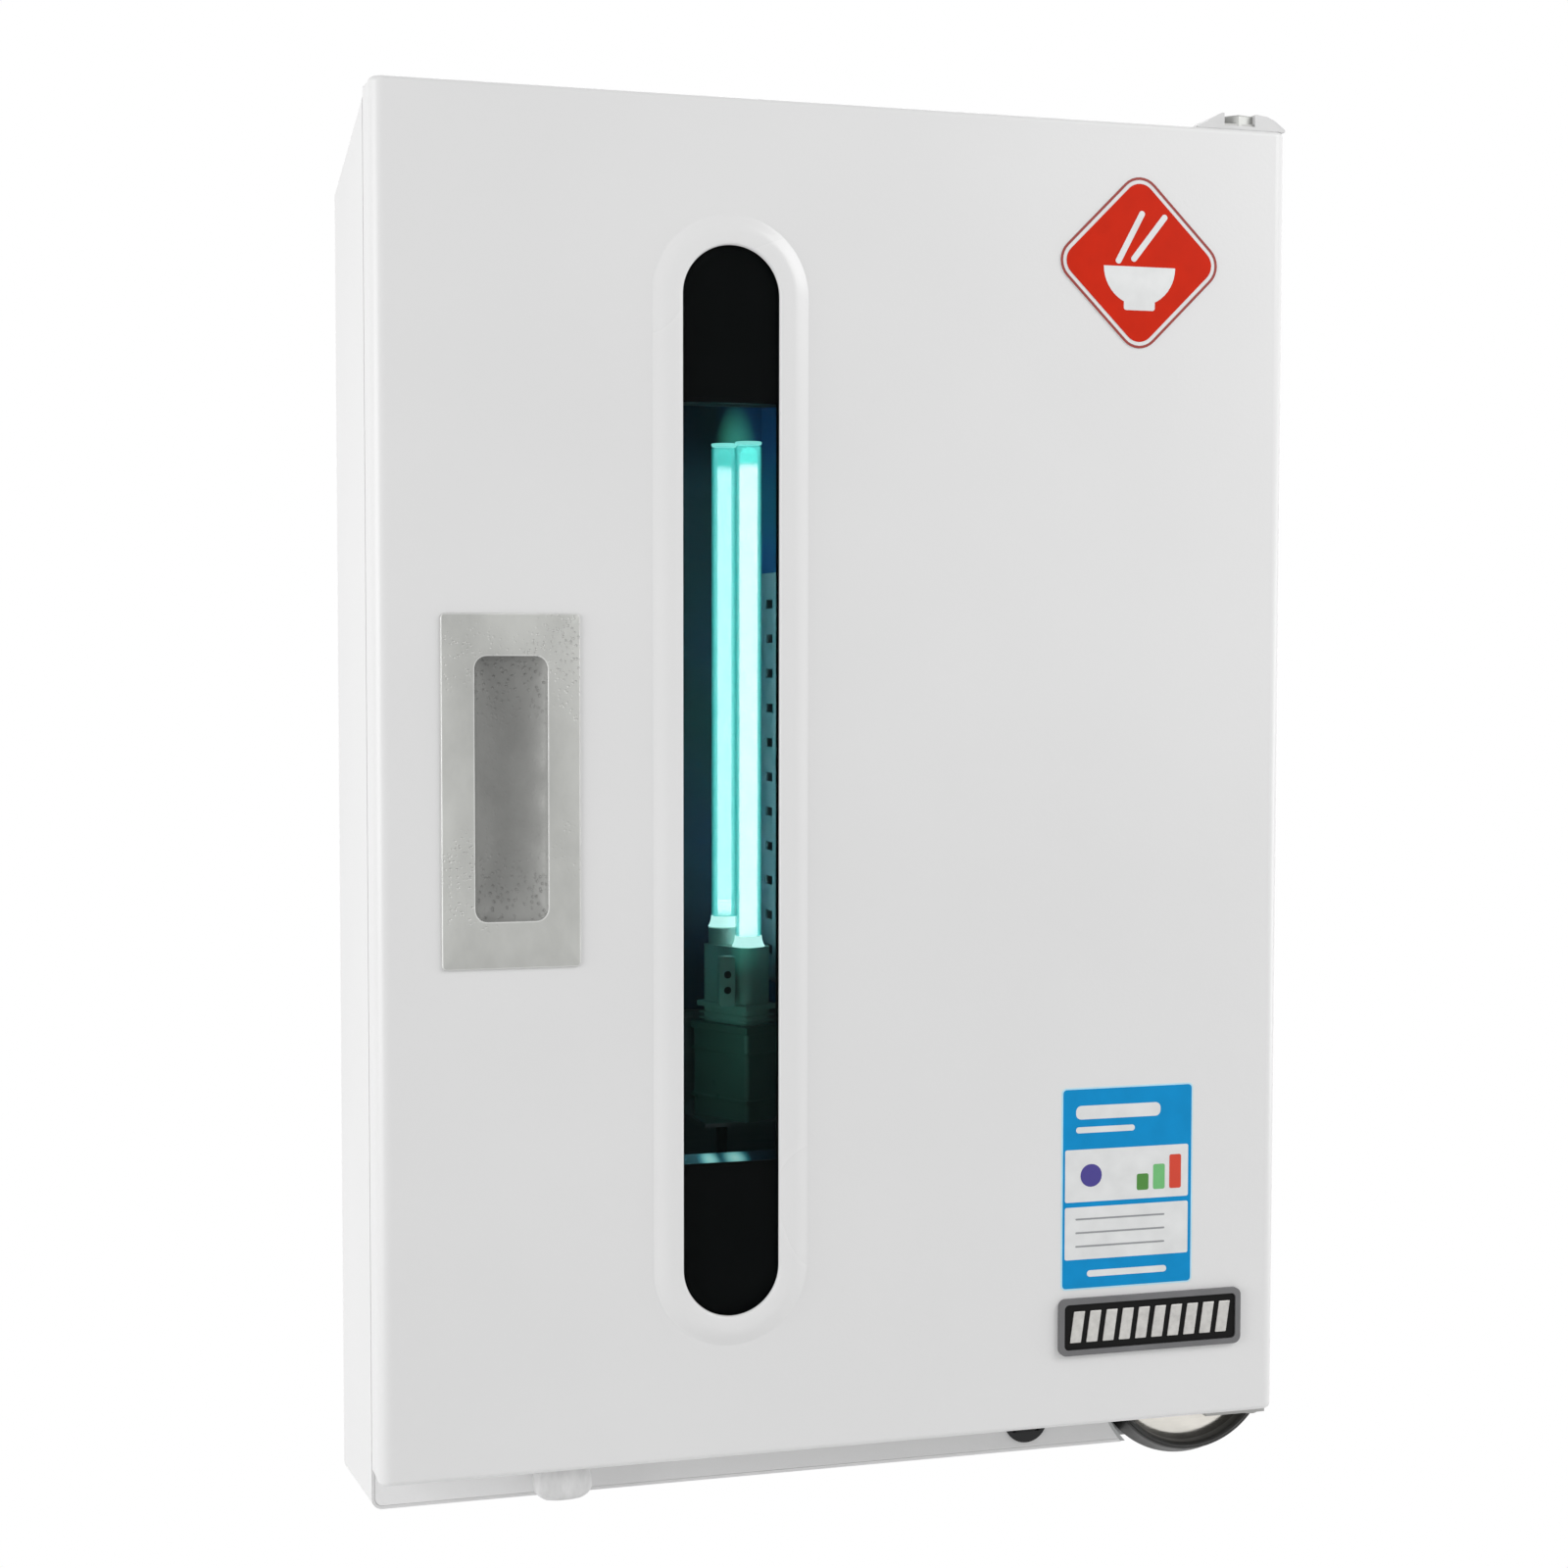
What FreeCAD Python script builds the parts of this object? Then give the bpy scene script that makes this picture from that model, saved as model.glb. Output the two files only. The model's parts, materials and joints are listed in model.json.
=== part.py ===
import FreeCAD, Part
import math
import os

# Wall-hung ultraviolet cabinet for chopsticks, in millimetres.
# The origin is on the wall face, at the centre of the four wall screws.
# +X points right seen from the front, +Y into the wall and +Z up.

# ---- door ----
DOOR_WIDTH = 360.0
DOOR_HEIGHT = 510.0
DOOR_DEPTH = 20.0
DOOR_SHEET = 1.2
DOOR_SIDE_RADIUS = 5.0
DOOR_END_RADIUS = 2.0
DOOR_RETURN = 10.0
INNER_PANEL_SHEET = 1.0

# ---- cabinet body ----
BODY_DEPTH = 88.0
BODY_SHEET = 1.2
BODY_CORNER_RADIUS = 4.0
DOOR_GAP = 2.0
APRON_HEIGHT = 15.0
ROOF_STEP = 1.0
ROOF_DROP = 20.0
FLOOR_DROP = 12.0
FRONT_FLANGE = 16.0
REAR_FLANGE = 12.0
BACK_PANEL_SHEET = 1.5
CONTROL_HEIGHT = 63.0
LINER_SHEET = 0.8
LINER_SIDE_SPACE = 14.0
LINER_HEADROOM = 6.0

# ---- window in the door ----
WINDOW_FROM_LEFT = 133.0
WINDOW_WIDTH = 37.0
WINDOW_HEIGHT = 401.0
BEZEL_BAND = 11.5
BEZEL_PROUD = 1.8
BEZEL_EDGE_RADIUS = 1.4
BEZEL_LIP = 1.6
BEZEL_SPIGOT_WALL = 3.0
GLASS_OVERLAP = 2.5
GLASS_THICKNESS = 3.0
MASK_THICKNESS = 1.0
MASK_OPENING_HEIGHT = 285.4
SPACER_WIDTH = 54.0
SPACER_HEIGHT = 300.0
SPACER_WALL = 1.5

# ---- pull handle let into the door ----
HANDLE_FROM_LEFT = 49.7
HANDLE_Z = -1.0
HANDLE_WIDTH = 51.4
HANDLE_HEIGHT = 130.0
HANDLE_PLATE = 1.0
HANDLE_CORNER = 1.5
CUP_WIDTH = 27.5
CUP_HEIGHT = 97.5
CUP_CORNER = 4.5
CUP_DEPTH = 13.0
CUP_WALL = 1.0

# ---- badge, label and nameplate on the door ----
BADGE_FROM_RIGHT = 63.0
BADGE_FROM_TOP = 54.0
BADGE_SIZE = 66.0
BADGE_CORNER = 9.0
BADGE_THICKNESS = 0.6
BADGE_TURN = 45.0
LABEL_FROM_RIGHT = 65.0
LABEL_ABOVE_DOOR_EDGE = 94.5
LABEL_WIDTH = 56.0
LABEL_HEIGHT = 80.0
LABEL_CORNER = 1.0
LABEL_THICKNESS = 0.3
PLATE_FROM_RIGHT = 55.1
PLATE_ABOVE_DOOR_EDGE = 40.0
PLATE_WIDTH = 78.0
PLATE_HEIGHT = 22.5
PLATE_CORNER = 3.0
PLATE_FRAME = 2.2
PLATE_FRAME_DEPTH = 1.8
PLATE_FIELD_DEPTH = 1.0

# ---- pull tab under the door ----
TAB_FROM_LEFT = 69.8
TAB_WIDTH = 22.0
TAB_DROP = 12.8
TAB_DEPTH = 11.0
TAB_INSET = 4.5
TAB_STEM_RADIUS = 2.5
TAB_STEM_LENGTH = 6.0
TAB_BEAD_RADIUS = 3.5
TAB_BEAD_LENGTH = 1.5
TAB_CORNER = 6.0

# ---- hinges ----
HINGE_SIDE_INSET = 6.2
HINGE_FRONT_INSET = 10.0
HINGE_PLATE = 1.5
HINGE_PIN_RADIUS = 2.0
HINGE_PIN_REACH = 13.0
BUSH_WALL = 1.0
BUSH_LENGTH = 8.0
BUSH_FLANGE_RADIUS = 4.4
BUSH_FLANGE = 0.7
BUSH_HOLE_DEPTH = 3.0
HINGE_GAP = 1.0
TOP_PLATE_WIDTH = 30.0
TOP_PLATE_REACH = 17.0
TOP_PLATE_TAIL = 34.0
TOP_PLATE_INSET = 3.0
TOP_PLATE_STEP = 4.0
TOP_SCREW_SETBACK = 23.8
TOP_SCREW_PITCH = 15.0
TOP_SCREW_HEAD = 1.6
TOP_CAP_WIDTH = 37.5
TOP_CAP_HEIGHT = 5.3
TOP_CAP_LEFT_RAMP = 10.5
TOP_CAP_RIGHT_RAMP = 7.5
TOP_CAP_DEPTH = 20.0
TOP_CAP_LIP = 1.0
CAP_BAY_HALF = 7.0
CAP_BOLT_FLATS = 10.0
CAP_BOLT_HEAD = 3.3
CAP_BOLT_TURN = 16.0
CAP_BOLT_SHANK = 2.0
PIN_HEAD_RADIUS = 3.2
PIN_HEAD = 0.8
BOTTOM_PLATE_WIDTH = 26.0
BOTTOM_LEG_WIDTH = 11.0
BOTTOM_LEG_TOP = 52.0
BOTTOM_PLATE_SHOULDER = 4.0
TONGUE_MARGIN = 1.0
FLANGE_SCREW_TIP = 2.0
HINGE_SCREW_PITCH = 20.0

# ---- timer dial in the lower right corner ----
DIAL_FROM_RIGHT = 24.6
DIAL_ABOVE_DOOR_EDGE = 13.8
DIAL_RADIUS = 39.8
DIAL_TAPER = 2.2
DIAL_RING = 4.8
DIAL_DEPTH = 9.0
DIAL_PLATE = 2.0
DIAL_DOME = 4.0
DIAL_FACE_RECESS = 1.0
DIAL_HUB_RADIUS = 7.0
DIAL_WELL_CLEARANCE = 2.0
DIAL_BRACKET_CLEARANCE = 0.5
DIAL_WELL_WALL = 1.5
SHAFT_RADIUS = 3.0
TIMER_RADIUS = 19.0
TIMER_DEPTH = 28.0
TIMER_NUT_RADIUS = 6.0

# ---- rocker switch in the apron ----
ROCKER_FROM_RIGHT = 98.8
ROCKER_BELOW_DOOR_EDGE = 2.6
SWITCH_FLANGE_RADIUS = 9.0
SWITCH_FLANGE = 0.8
SWITCH_BARREL_RADIUS = 8.0
SWITCH_BARREL_LENGTH = 17.0
ROCKER_RADIUS = 5.6
ROCKER_FACE_OFFSET = 4.0
ROCKER_HEIGHT = 9.0

# ---- lamp ----
LAMP_RIGHT_OF_WINDOW = 20.0
LAMP_Y = -44.0
LAMP_TURN = 118.0
TUBE_RADIUS = 5.3
TUBE_END_ROUND = 3.0
TUBE_SPACING = 14.0
TUBE_LENGTH = 201.0
TUBE_GLASS = 1.0
TUBE_BRIDGE_RADIUS = 3.0
TUBE_BRIDGE_DROP = 9.0
LAMP_BASE_ABOVE_FLOOR = 93.5
LAMP_BASE_HEIGHT = 31.0
LAMP_BASE_LENGTH = 27.0
LAMP_BASE_WIDTH = 15.0
LAMP_BASE_CORNER = 4.0
HOLDER_HEIGHT = 38.0
HOLDER_LENGTH = 32.0
HOLDER_WIDTH = 19.0
HOLDER_CORNER = 2.0
LAMP_PIN_RADIUS = 1.2
LAMP_PIN_LENGTH = 7.0
LAMP_PIN_SPACING = 16.0
BRACKET_SHEET = 1.5
BRACKET_WIDTH = 34.0
BRACKET_LEG = 36.0
REFLECTOR_SHEET = 0.6
REFLECTOR_FLAT = 44.0
REFLECTOR_WING = 11.0
REFLECTOR_RISE = 9.0
REFLECTOR_HEIGHT = 250.0
REFLECTOR_GAP = 2.0

# ---- baskets hanging in the chamber ----
BASKET_DEPTH = 54.0
BASKET_HEIGHT = 165.0
BASKET_BELOW_LINER_TOP = 146.0
BASKET_SHEET = 0.8
BASKET_SIDE_GAP = 5.0
BASKET_LAMP_GAP_LEFT = 30.0
BASKET_LAMP_GAP_RIGHT = 16.0
BASKET_HOLE = 8.0
BASKET_PITCH = 16.0
BASKET_EDGE_BAND = 8.0
BASKET_TOP_BAND = 16.0
BASKET_LIP = 2.4
RAIL_HEIGHT = 12.0
RAIL_THICKNESS = 2.5
RAIL_STANDOFF = 4.0
RAIL_OVERHANG = 2.0
RAIL_FOOT_WIDTH = 20.0
HOOK_DROP = 9.0
HOOK_WIDTH = 14.0
HOOK_INSET = 28.0
HOOK_CLEARANCE = 0.2
BASKET_WALL_GAP = 12.0

# ---- control compartment ----
BALLAST_X = -52.0
BALLAST_LENGTH = 104.0
BALLAST_DEPTH = 40.0
BALLAST_HEIGHT = 30.0
BALLAST_EAR = 11.0
BALLAST_EAR_SHEET = 2.0
BALLAST_EAR_MARGIN = 6.0
BALLAST_CORNER = 2.0
BALLAST_DROP = 30.0
TERMINAL_X = 42.0
TERMINAL_LENGTH = 44.0
TERMINAL_DEPTH = 17.0
TERMINAL_HEIGHT = 20.0
TERMINAL_WAYS = 4
TERMINAL_SCREW_RADIUS = 3.1
TERMINAL_SCREW_DEPTH = 4.0
TERMINAL_WIRE_RADIUS = 2.4
TERMINAL_WIRE_DEPTH = 5.0
LEAD_RADIUS = 2.2
LEAD_OFFSET = 8.0
GROMMET_LIP = 2.0
GROMMET_LIP_SHEET = 1.2
GLAND_FROM_LEFT = 30.0
GLAND_Y = -22.0
GLAND_RADIUS = 8.0
GLAND_NUT_RADIUS = 11.0
GLAND_NUT = 5.0
GLAND_BORE = 3.6
GLAND_TAIL = 11.0
GLAND_CHAMFER = 3.0

# ---- door switch and magnetic catch ----
SWITCH_FROM_TOP = 59.0
SWITCH_WIDTH = 9.0
SWITCH_HEIGHT = 20.0
SWITCH_DEPTH = 16.0
PLUNGER_RADIUS = 2.0
PLUNGER_TRAVEL = 1.5
CATCH_Z = -10.0
CATCH_WIDTH = 8.0
CATCH_HEIGHT = 40.0
CATCH_DEPTH = 11.0
CATCH_GROOVE = 2.0
CATCH_GROOVE_DEPTH = 1.0
CATCH_GROOVE_MARGIN = 4.0
STRIKE_WIDTH = 7.6
STRIKE_HEIGHT = 44.0
STRIKE_SHEET = 1.2
STRIKE_CORNER = 2.0

# ---- door seal ----
SEAL_WIDTH = 8.0
SEAL_OVERLAP = 4.0
SEAL_BOTTOM_OVERLAP = 6.0
SEAL_CORNER = 3.0
SEAL_SQUASH_GAP = 0.3

# ---- fasteners and wall holes ----
SCREW_RADIUS = 1.5
SCREW_HEAD_RADIUS = 2.8
SCREW_HEAD = 1.0
SCREW_LENGTH = 7.0
PANEL_SCREW_SIDE_LEVELS = (-0.95, -0.45, 0.45, 0.95)
PANEL_SCREW_END_LEVELS = (-0.5, 0.5)
WALL_HOLE_RADIUS = 3.25
WALL_HOLE_SPACING_X = 260.0
WALL_HOLE_SPACING_Z = 360.0

# ---- clearances, the overrun of cuts and joins, and the most degrees between parallel edges ----
FIT = 0.1
RUNNING_FIT = 0.05
REST_GAP = 0.1
PAST = 1.0
PARALLEL_WITHIN = 18.0

# ---- derived planes ----
HALF_WIDTH = DOOR_WIDTH / 2
WINDOW_X = WINDOW_FROM_LEFT - HALF_WIDTH
HANDLE_X = HANDLE_FROM_LEFT - HALF_WIDTH
TAB_X = TAB_FROM_LEFT - HALF_WIDTH
GLAND_X = GLAND_FROM_LEFT - HALF_WIDTH
BADGE_X = HALF_WIDTH - BADGE_FROM_RIGHT
LABEL_X = HALF_WIDTH - LABEL_FROM_RIGHT
PLATE_X = HALF_WIDTH - PLATE_FROM_RIGHT
DIAL_X = HALF_WIDTH - DIAL_FROM_RIGHT
ROCKER_X = HALF_WIDTH - ROCKER_FROM_RIGHT
LAMP_X = WINDOW_X + LAMP_RIGHT_OF_WINDOW
BODY_FRONT = -BODY_DEPTH
DOOR_BACK = BODY_FRONT - DOOR_GAP
DOOR_FRONT = DOOR_BACK - DOOR_DEPTH
DOOR_TOP = DOOR_HEIGHT / 2
DOOR_BOTTOM = -DOOR_HEIGHT / 2
BADGE_Z = DOOR_TOP - BADGE_FROM_TOP
SWITCH_Z = DOOR_TOP - SWITCH_FROM_TOP
LABEL_Z = DOOR_BOTTOM + LABEL_ABOVE_DOOR_EDGE
PLATE_Z = DOOR_BOTTOM + PLATE_ABOVE_DOOR_EDGE
ROOF_FRONT_Z = DOOR_TOP - ROOF_STEP
ROOF_BACK_Z = ROOF_FRONT_Z - ROOF_DROP
FLOOR_FRONT_Z = DOOR_BOTTOM - APRON_HEIGHT
FLOOR_BACK_Z = FLOOR_FRONT_Z - FLOOR_DROP
FASCIA_TOP = DOOR_BOTTOM + CONTROL_HEIGHT
INSIDE_HALF = HALF_WIDTH - BODY_SHEET
OPENING_HALF = HALF_WIDTH - FRONT_FLANGE
LINER_HALF = HALF_WIDTH - LINER_SIDE_SPACE
LINER_TOP = ROOF_BACK_Z - LINER_HEADROOM
LINER_BOTTOM = FASCIA_TOP - LINER_SHEET
LAMP_BASE_Z = FASCIA_TOP + LAMP_BASE_ABOVE_FLOOR
BASKET_TOP_Z = LINER_TOP - BASKET_BELOW_LINER_TOP
LINER_FRONT = BODY_FRONT + BODY_SHEET + FIT
LINER_BACK = -BACK_PANEL_SHEET - BODY_SHEET - FIT
CHAMBER_BACK = LINER_BACK - LINER_SHEET
OPENING_TOP = LINER_TOP - LINER_SHEET - SEAL_OVERLAP
PIVOT_X = HALF_WIDTH - HINGE_SIDE_INSET
PIVOT_Y = DOOR_FRONT + HINGE_FRONT_INSET
DIAL_Z = DOOR_BOTTOM + DIAL_ABOVE_DOOR_EDGE
LEG_BACK = BODY_FRONT + BODY_SHEET + HINGE_PLATE
DIAL_FRONT = LEG_BACK + DIAL_BRACKET_CLEARANCE
DIAL_BACK = DIAL_FRONT + DIAL_DEPTH
WELL_RADIUS = DIAL_RADIUS + DIAL_WELL_CLEARANCE
WELL_FLOOR = DIAL_BACK + DIAL_WELL_CLEARANCE
WELL_BACK = WELL_FLOOR + DIAL_WELL_WALL
WELL_OUTER = WELL_RADIUS + DIAL_WELL_WALL
ROCKER_Z = DOOR_BOTTOM - ROCKER_BELOW_DOOR_EDGE
ROCKER_PIVOT_Y = BODY_FRONT - SWITCH_FLANGE + ROCKER_FACE_OFFSET
CATCH_X = -(OPENING_HALF + HALF_WIDTH) / 2


def box(x0, x1, y0, y1, z0, z1):
    corner = FreeCAD.Vector(x0, y0, z0)
    return Part.makeBox(x1 - x0, y1 - y0, z1 - z0, corner)


def rod(x, y, z, radius, length, direction):
    return Part.makeCylinder(radius, length, FreeCAD.Vector(x, y, z), FreeCAD.Vector(*direction))


def rod_y(x, z, radius, y0, y1):
    return rod(x, y0, z, radius, y1 - y0, (0, 1, 0))


def rod_z(x, y, radius, z0, z1):
    return rod(x, y, z0, radius, z1 - z0, (0, 0, 1))


def plate(points, direction):
    """A flat outline, extruded by the direction vector."""
    corners = [FreeCAD.Vector(*point) for point in points]
    outline = Part.makePolygon(corners + corners[:1])
    return Part.Face(outline).extrude(FreeCAD.Vector(*direction))


def rounded_block(x, z, width, height, radius, y0, y1):
    """A block with its four edges along Y rounded, centred on x and z."""
    block = box(x - width / 2, x + width / 2, y0, y1, z - height / 2, z + height / 2)
    return round_edges(block, (0, 1, 0), radius)


def stadium(x, z, width, height, y0, y1):
    """A block with half-round ends above and below."""
    reach = (height - width) / 2
    middle = box(x - width / 2, x + width / 2, y0, y1, z - reach, z + reach)
    upper = rod_y(x, z + reach, width / 2, y0, y1)
    lower = rod_y(x, z - reach, width / 2, y0, y1)
    return middle.fuse([upper, lower]).removeSplitter()


def runs_along(edge, direction):
    if len(edge.Vertexes) < 2:
        return False
    line = (edge.Vertexes[-1].Point - edge.Vertexes[0].Point).normalize()
    return abs(line.dot(FreeCAD.Vector(*direction))) > math.cos(math.radians(PARALLEL_WITHIN))


def round_edges(shape, direction, radius):
    edges = [edge for edge in shape.Edges if runs_along(edge, direction)]
    return shape.makeFillet(radius, edges)


def turned(points, x, z):
    """A profile of (radius, y) points turned about an axis along Y."""
    corners = [FreeCAD.Vector(x + radius, y, z) for radius, y in points]
    outline = Part.makePolygon(corners + corners[:1])
    axis = FreeCAD.Vector(x, 0, z)
    return Part.Face(outline).revolve(axis, FreeCAD.Vector(0, 1, 0), 360)


def turned_z(points, x, y):
    """A profile of (radius, z) points turned about an axis along Z."""
    corners = [FreeCAD.Vector(x + radius, y, z) for radius, z in points]
    outline = Part.makePolygon(corners + corners[:1])
    axis = FreeCAD.Vector(x, y, 0)
    return Part.Face(outline).revolve(axis, FreeCAD.Vector(0, 0, 1), 360)


def group(solids):
    return Part.makeCompound(solids)


def save(name, shape):
    shape.exportStep("parts/" + name + ".step")


def roof_z(y):
    """The height of the roof's upper face at depth y."""
    return ROOF_FRONT_Z - ROOF_DROP * (y - BODY_FRONT) / BODY_DEPTH


def floor_z(y):
    """The height of the floor's lower face at depth y."""
    return FLOOR_FRONT_Z - FLOOR_DROP * (y - BODY_FRONT) / BODY_DEPTH


# ---------------------------------------------------------------- cabinet body

def body_block(inset, radius):
    """The outer form of the body, drawn in by an inset on its four long sides."""
    half = HALF_WIDTH - inset
    profile = [
        (-half, BODY_FRONT, FLOOR_FRONT_Z + inset),
        (-half, BODY_FRONT, ROOF_FRONT_Z - inset),
        (-half, 0, ROOF_BACK_Z - inset),
        (-half, 0, FLOOR_BACK_Z + inset),
    ]
    block = plate(profile, (2 * half, 0, 0))
    edges = [edge for edge in block.Edges if edge.BoundBox.YLength > BODY_DEPTH / 2]
    return block.makeFillet(radius, edges)


def front_flange():
    slab = box(-HALF_WIDTH, HALF_WIDTH, BODY_FRONT, BODY_FRONT + BODY_SHEET, FLOOR_BACK_Z, ROOF_FRONT_Z)
    ring = body_block(0, BODY_CORNER_RADIUS).common(slab)
    y0 = BODY_FRONT - PAST
    y1 = BODY_FRONT + BODY_SHEET + PAST
    opening = box(-OPENING_HALF, OPENING_HALF, y0, y1, FLOOR_BACK_Z, OPENING_TOP)
    fascia_bay = box(-INSIDE_HALF, INSIDE_HALF, y0, y1, FLOOR_BACK_Z, FASCIA_TOP)
    return ring.cut([opening, fascia_bay])


def rear_flange():
    y1 = -BACK_PANEL_SHEET
    y0 = y1 - BODY_SHEET
    slab = box(-HALF_WIDTH, HALF_WIDTH, y0, y1, FLOOR_BACK_Z, ROOF_FRONT_Z)
    ring = body_block(0, BODY_CORNER_RADIUS).common(slab)
    half = HALF_WIDTH - REAR_FLANGE
    opening = box(-half, half, y0 - PAST, y1 + PAST, FLOOR_BACK_Z + REAR_FLANGE, ROOF_BACK_Z - REAR_FLANGE)
    return ring.cut(opening)


def back_screw_places():
    x = INSIDE_HALF - REAR_FLANGE / 2
    top = ROOF_BACK_Z - BODY_SHEET - REAR_FLANGE / 2
    bottom = FLOOR_BACK_Z + BODY_SHEET + REAR_FLANGE / 2
    middle = (top + bottom) / 2
    return [(side * x, z) for side in (-1, 1) for z in (bottom, middle, top)]


def hinge_leg_screw_places():
    x = INSIDE_HALF - FIT - BOTTOM_LEG_WIDTH / 2
    z = DOOR_BOTTOM + CONTROL_HEIGHT + BOTTOM_LEG_TOP / 2
    return [(x, z - HINGE_SCREW_PITCH / 2), (x, z + HINGE_SCREW_PITCH / 2)]


def roof_screw_places():
    y = BODY_FRONT + TOP_SCREW_SETBACK
    x0, x1 = top_plate_span()
    middle = (x0 + x1) / 2
    return [(middle - TOP_SCREW_PITCH / 2, y), (middle + TOP_SCREW_PITCH / 2, y)]


def body_shell():
    tube = body_block(0, BODY_CORNER_RADIUS)
    hollow = body_block(BODY_SHEET, BODY_CORNER_RADIUS - BODY_SHEET)
    shell = tube.cut(hollow).fuse([front_flange(), rear_flange()])
    dial_notch = rod_y(DIAL_X, DIAL_Z, WELL_OUTER + FIT, BODY_FRONT - PAST, WELL_BACK + FIT)
    cuts = [dial_notch]
    floor_inside = FLOOR_FRONT_Z + BODY_SHEET
    cuts.append(rod_z(GLAND_X, GLAND_Y, GLAND_RADIUS + FIT, FLOOR_BACK_Z - PAST, floor_inside + PAST))
    for x, z in back_screw_places():
        cuts.append(rod_y(x, z, SCREW_RADIUS + RUNNING_FIT, LINER_BACK, 0))
    cuts += [flange_screw(x, z, RUNNING_FIT) for x, z in hinge_leg_screw_places()]
    for x, y in roof_screw_places():
        cuts.append(roof_screw_core(x, y, SCREW_RADIUS + RUNNING_FIT, SCREW_LENGTH * 2))
    flange_back = BODY_FRONT + BODY_SHEET
    cuts.append(rod_y(CATCH_X, SWITCH_Z, PLUNGER_RADIUS + FIT, BODY_FRONT - PAST, flange_back + PAST))
    cuts.append(catch_block(FIT, BODY_FRONT - PAST))
    return shell.cut(cuts).removeSplitter()


def back_panel():
    half = INSIDE_HALF - FIT
    z0 = FLOOR_BACK_Z + BODY_SHEET + 3 * FIT
    z1 = ROOF_BACK_Z - BODY_SHEET - 3 * FIT
    middle = (z0 + z1) / 2
    panel = rounded_block(0, middle, 2 * half, z1 - z0, BODY_CORNER_RADIUS, -BACK_PANEL_SHEET, 0)
    cuts = wall_holes()
    for x, z in back_screw_places():
        cuts.append(countersunk(x, z, RUNNING_FIT))
    return panel.cut(cuts)


def wall_holes():
    x = WALL_HOLE_SPACING_X / 2
    z = WALL_HOLE_SPACING_Z / 2
    places = [(-x, -z), (x, -z), (-x, z), (x, z)]
    return [rod_y(px, pz, WALL_HOLE_RADIUS, CHAMBER_BACK - PAST, PAST) for px, pz in places]


def countersunk(x, z, clearance):
    """A flat-headed screw entering the back panel, its head flush with the wall face."""
    head = SCREW_HEAD_RADIUS + clearance
    core = SCREW_RADIUS + clearance
    depth = BACK_PANEL_SHEET
    points = [(0, 0), (head, 0), (core, -depth), (core, -SCREW_LENGTH), (0, -SCREW_LENGTH)]
    return turned(points, x, z)


def back_panel_screws():
    return group([countersunk(x, z, 0) for x, z in back_screw_places()])


def front_fascia():
    half = INSIDE_HALF - FIT
    y1 = BODY_FRONT + BODY_SHEET
    sheet = box(-half, half, BODY_FRONT, y1, FLOOR_FRONT_Z, FASCIA_TOP - FIT)
    sheet = sheet.common(body_block(BODY_SHEET + FIT, BODY_CORNER_RADIUS - BODY_SHEET))
    dial_notch = rod_y(DIAL_X, DIAL_Z, WELL_OUTER + FIT, BODY_FRONT - PAST, y1 + PAST)
    switch_hole = rod_y(ROCKER_X, ROCKER_Z, SWITCH_BARREL_RADIUS + FIT, BODY_FRONT - PAST, y1 + PAST)
    return sheet.cut([dial_notch, switch_hole])


def lead_place():
    return LAMP_X - LEAD_OFFSET / 2, LAMP_Y + LEAD_OFFSET


def chamber_liner():
    outer = box(-LINER_HALF, LINER_HALF, LINER_FRONT, LINER_BACK, LINER_BOTTOM, LINER_TOP)
    inner_half = LINER_HALF - LINER_SHEET
    inner_top = LINER_TOP - LINER_SHEET
    inner = box(-inner_half, inner_half, LINER_FRONT - PAST, CHAMBER_BACK, FASCIA_TOP, inner_top)
    cuts = wall_holes()
    cuts.append(inner)
    x, y = lead_place()
    cuts.append(rod_z(x, y, LEAD_RADIUS + GROMMET_LIP, LINER_BOTTOM - PAST, FASCIA_TOP + PAST))
    return outer.cut(cuts)


# ---------------------------------------------------------------- dial and timer

def dial_well():
    cup = rod_y(DIAL_X, DIAL_Z, WELL_OUTER, BODY_FRONT + BODY_SHEET + FIT, WELL_BACK)
    hollow = rod_y(DIAL_X, DIAL_Z, WELL_RADIUS, BODY_FRONT, WELL_FLOOR)
    shaft_hole = rod_y(DIAL_X, DIAL_Z, TIMER_NUT_RADIUS + FIT, WELL_FLOOR - PAST, WELL_BACK + PAST)
    leg_slot = bottom_hinge_plate(FIT)
    leg_slot.translate(FreeCAD.Vector(0, FIT, 0))
    cup = cup.cut([hollow, shaft_hole, leg_slot])
    cup = cup.common(body_block(0, BODY_CORNER_RADIUS))
    return largest(cup)


def largest(shape):
    return sorted(shape.Solids, key=lambda solid: solid.Volume)[-1]


def timer_body():
    case = rod_y(DIAL_X, DIAL_Z, TIMER_RADIUS, WELL_BACK + FIT, WELL_BACK + TIMER_DEPTH)
    collar = rod_y(DIAL_X, DIAL_Z, TIMER_NUT_RADIUS, WELL_FLOOR, WELL_BACK + PAST)
    bore = rod_y(DIAL_X, DIAL_Z, SHAFT_RADIUS + RUNNING_FIT, WELL_FLOOR - PAST, WELL_BACK + TIMER_DEPTH / 2)
    return case.fuse(collar).cut(bore).removeSplitter()


def timer_shaft():
    y0 = DIAL_BACK - DIAL_DEPTH / 2
    y1 = WELL_BACK + TIMER_DEPTH / 2 - FIT
    return rod_y(DIAL_X, DIAL_Z, SHAFT_RADIUS, y0, y1)


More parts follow.
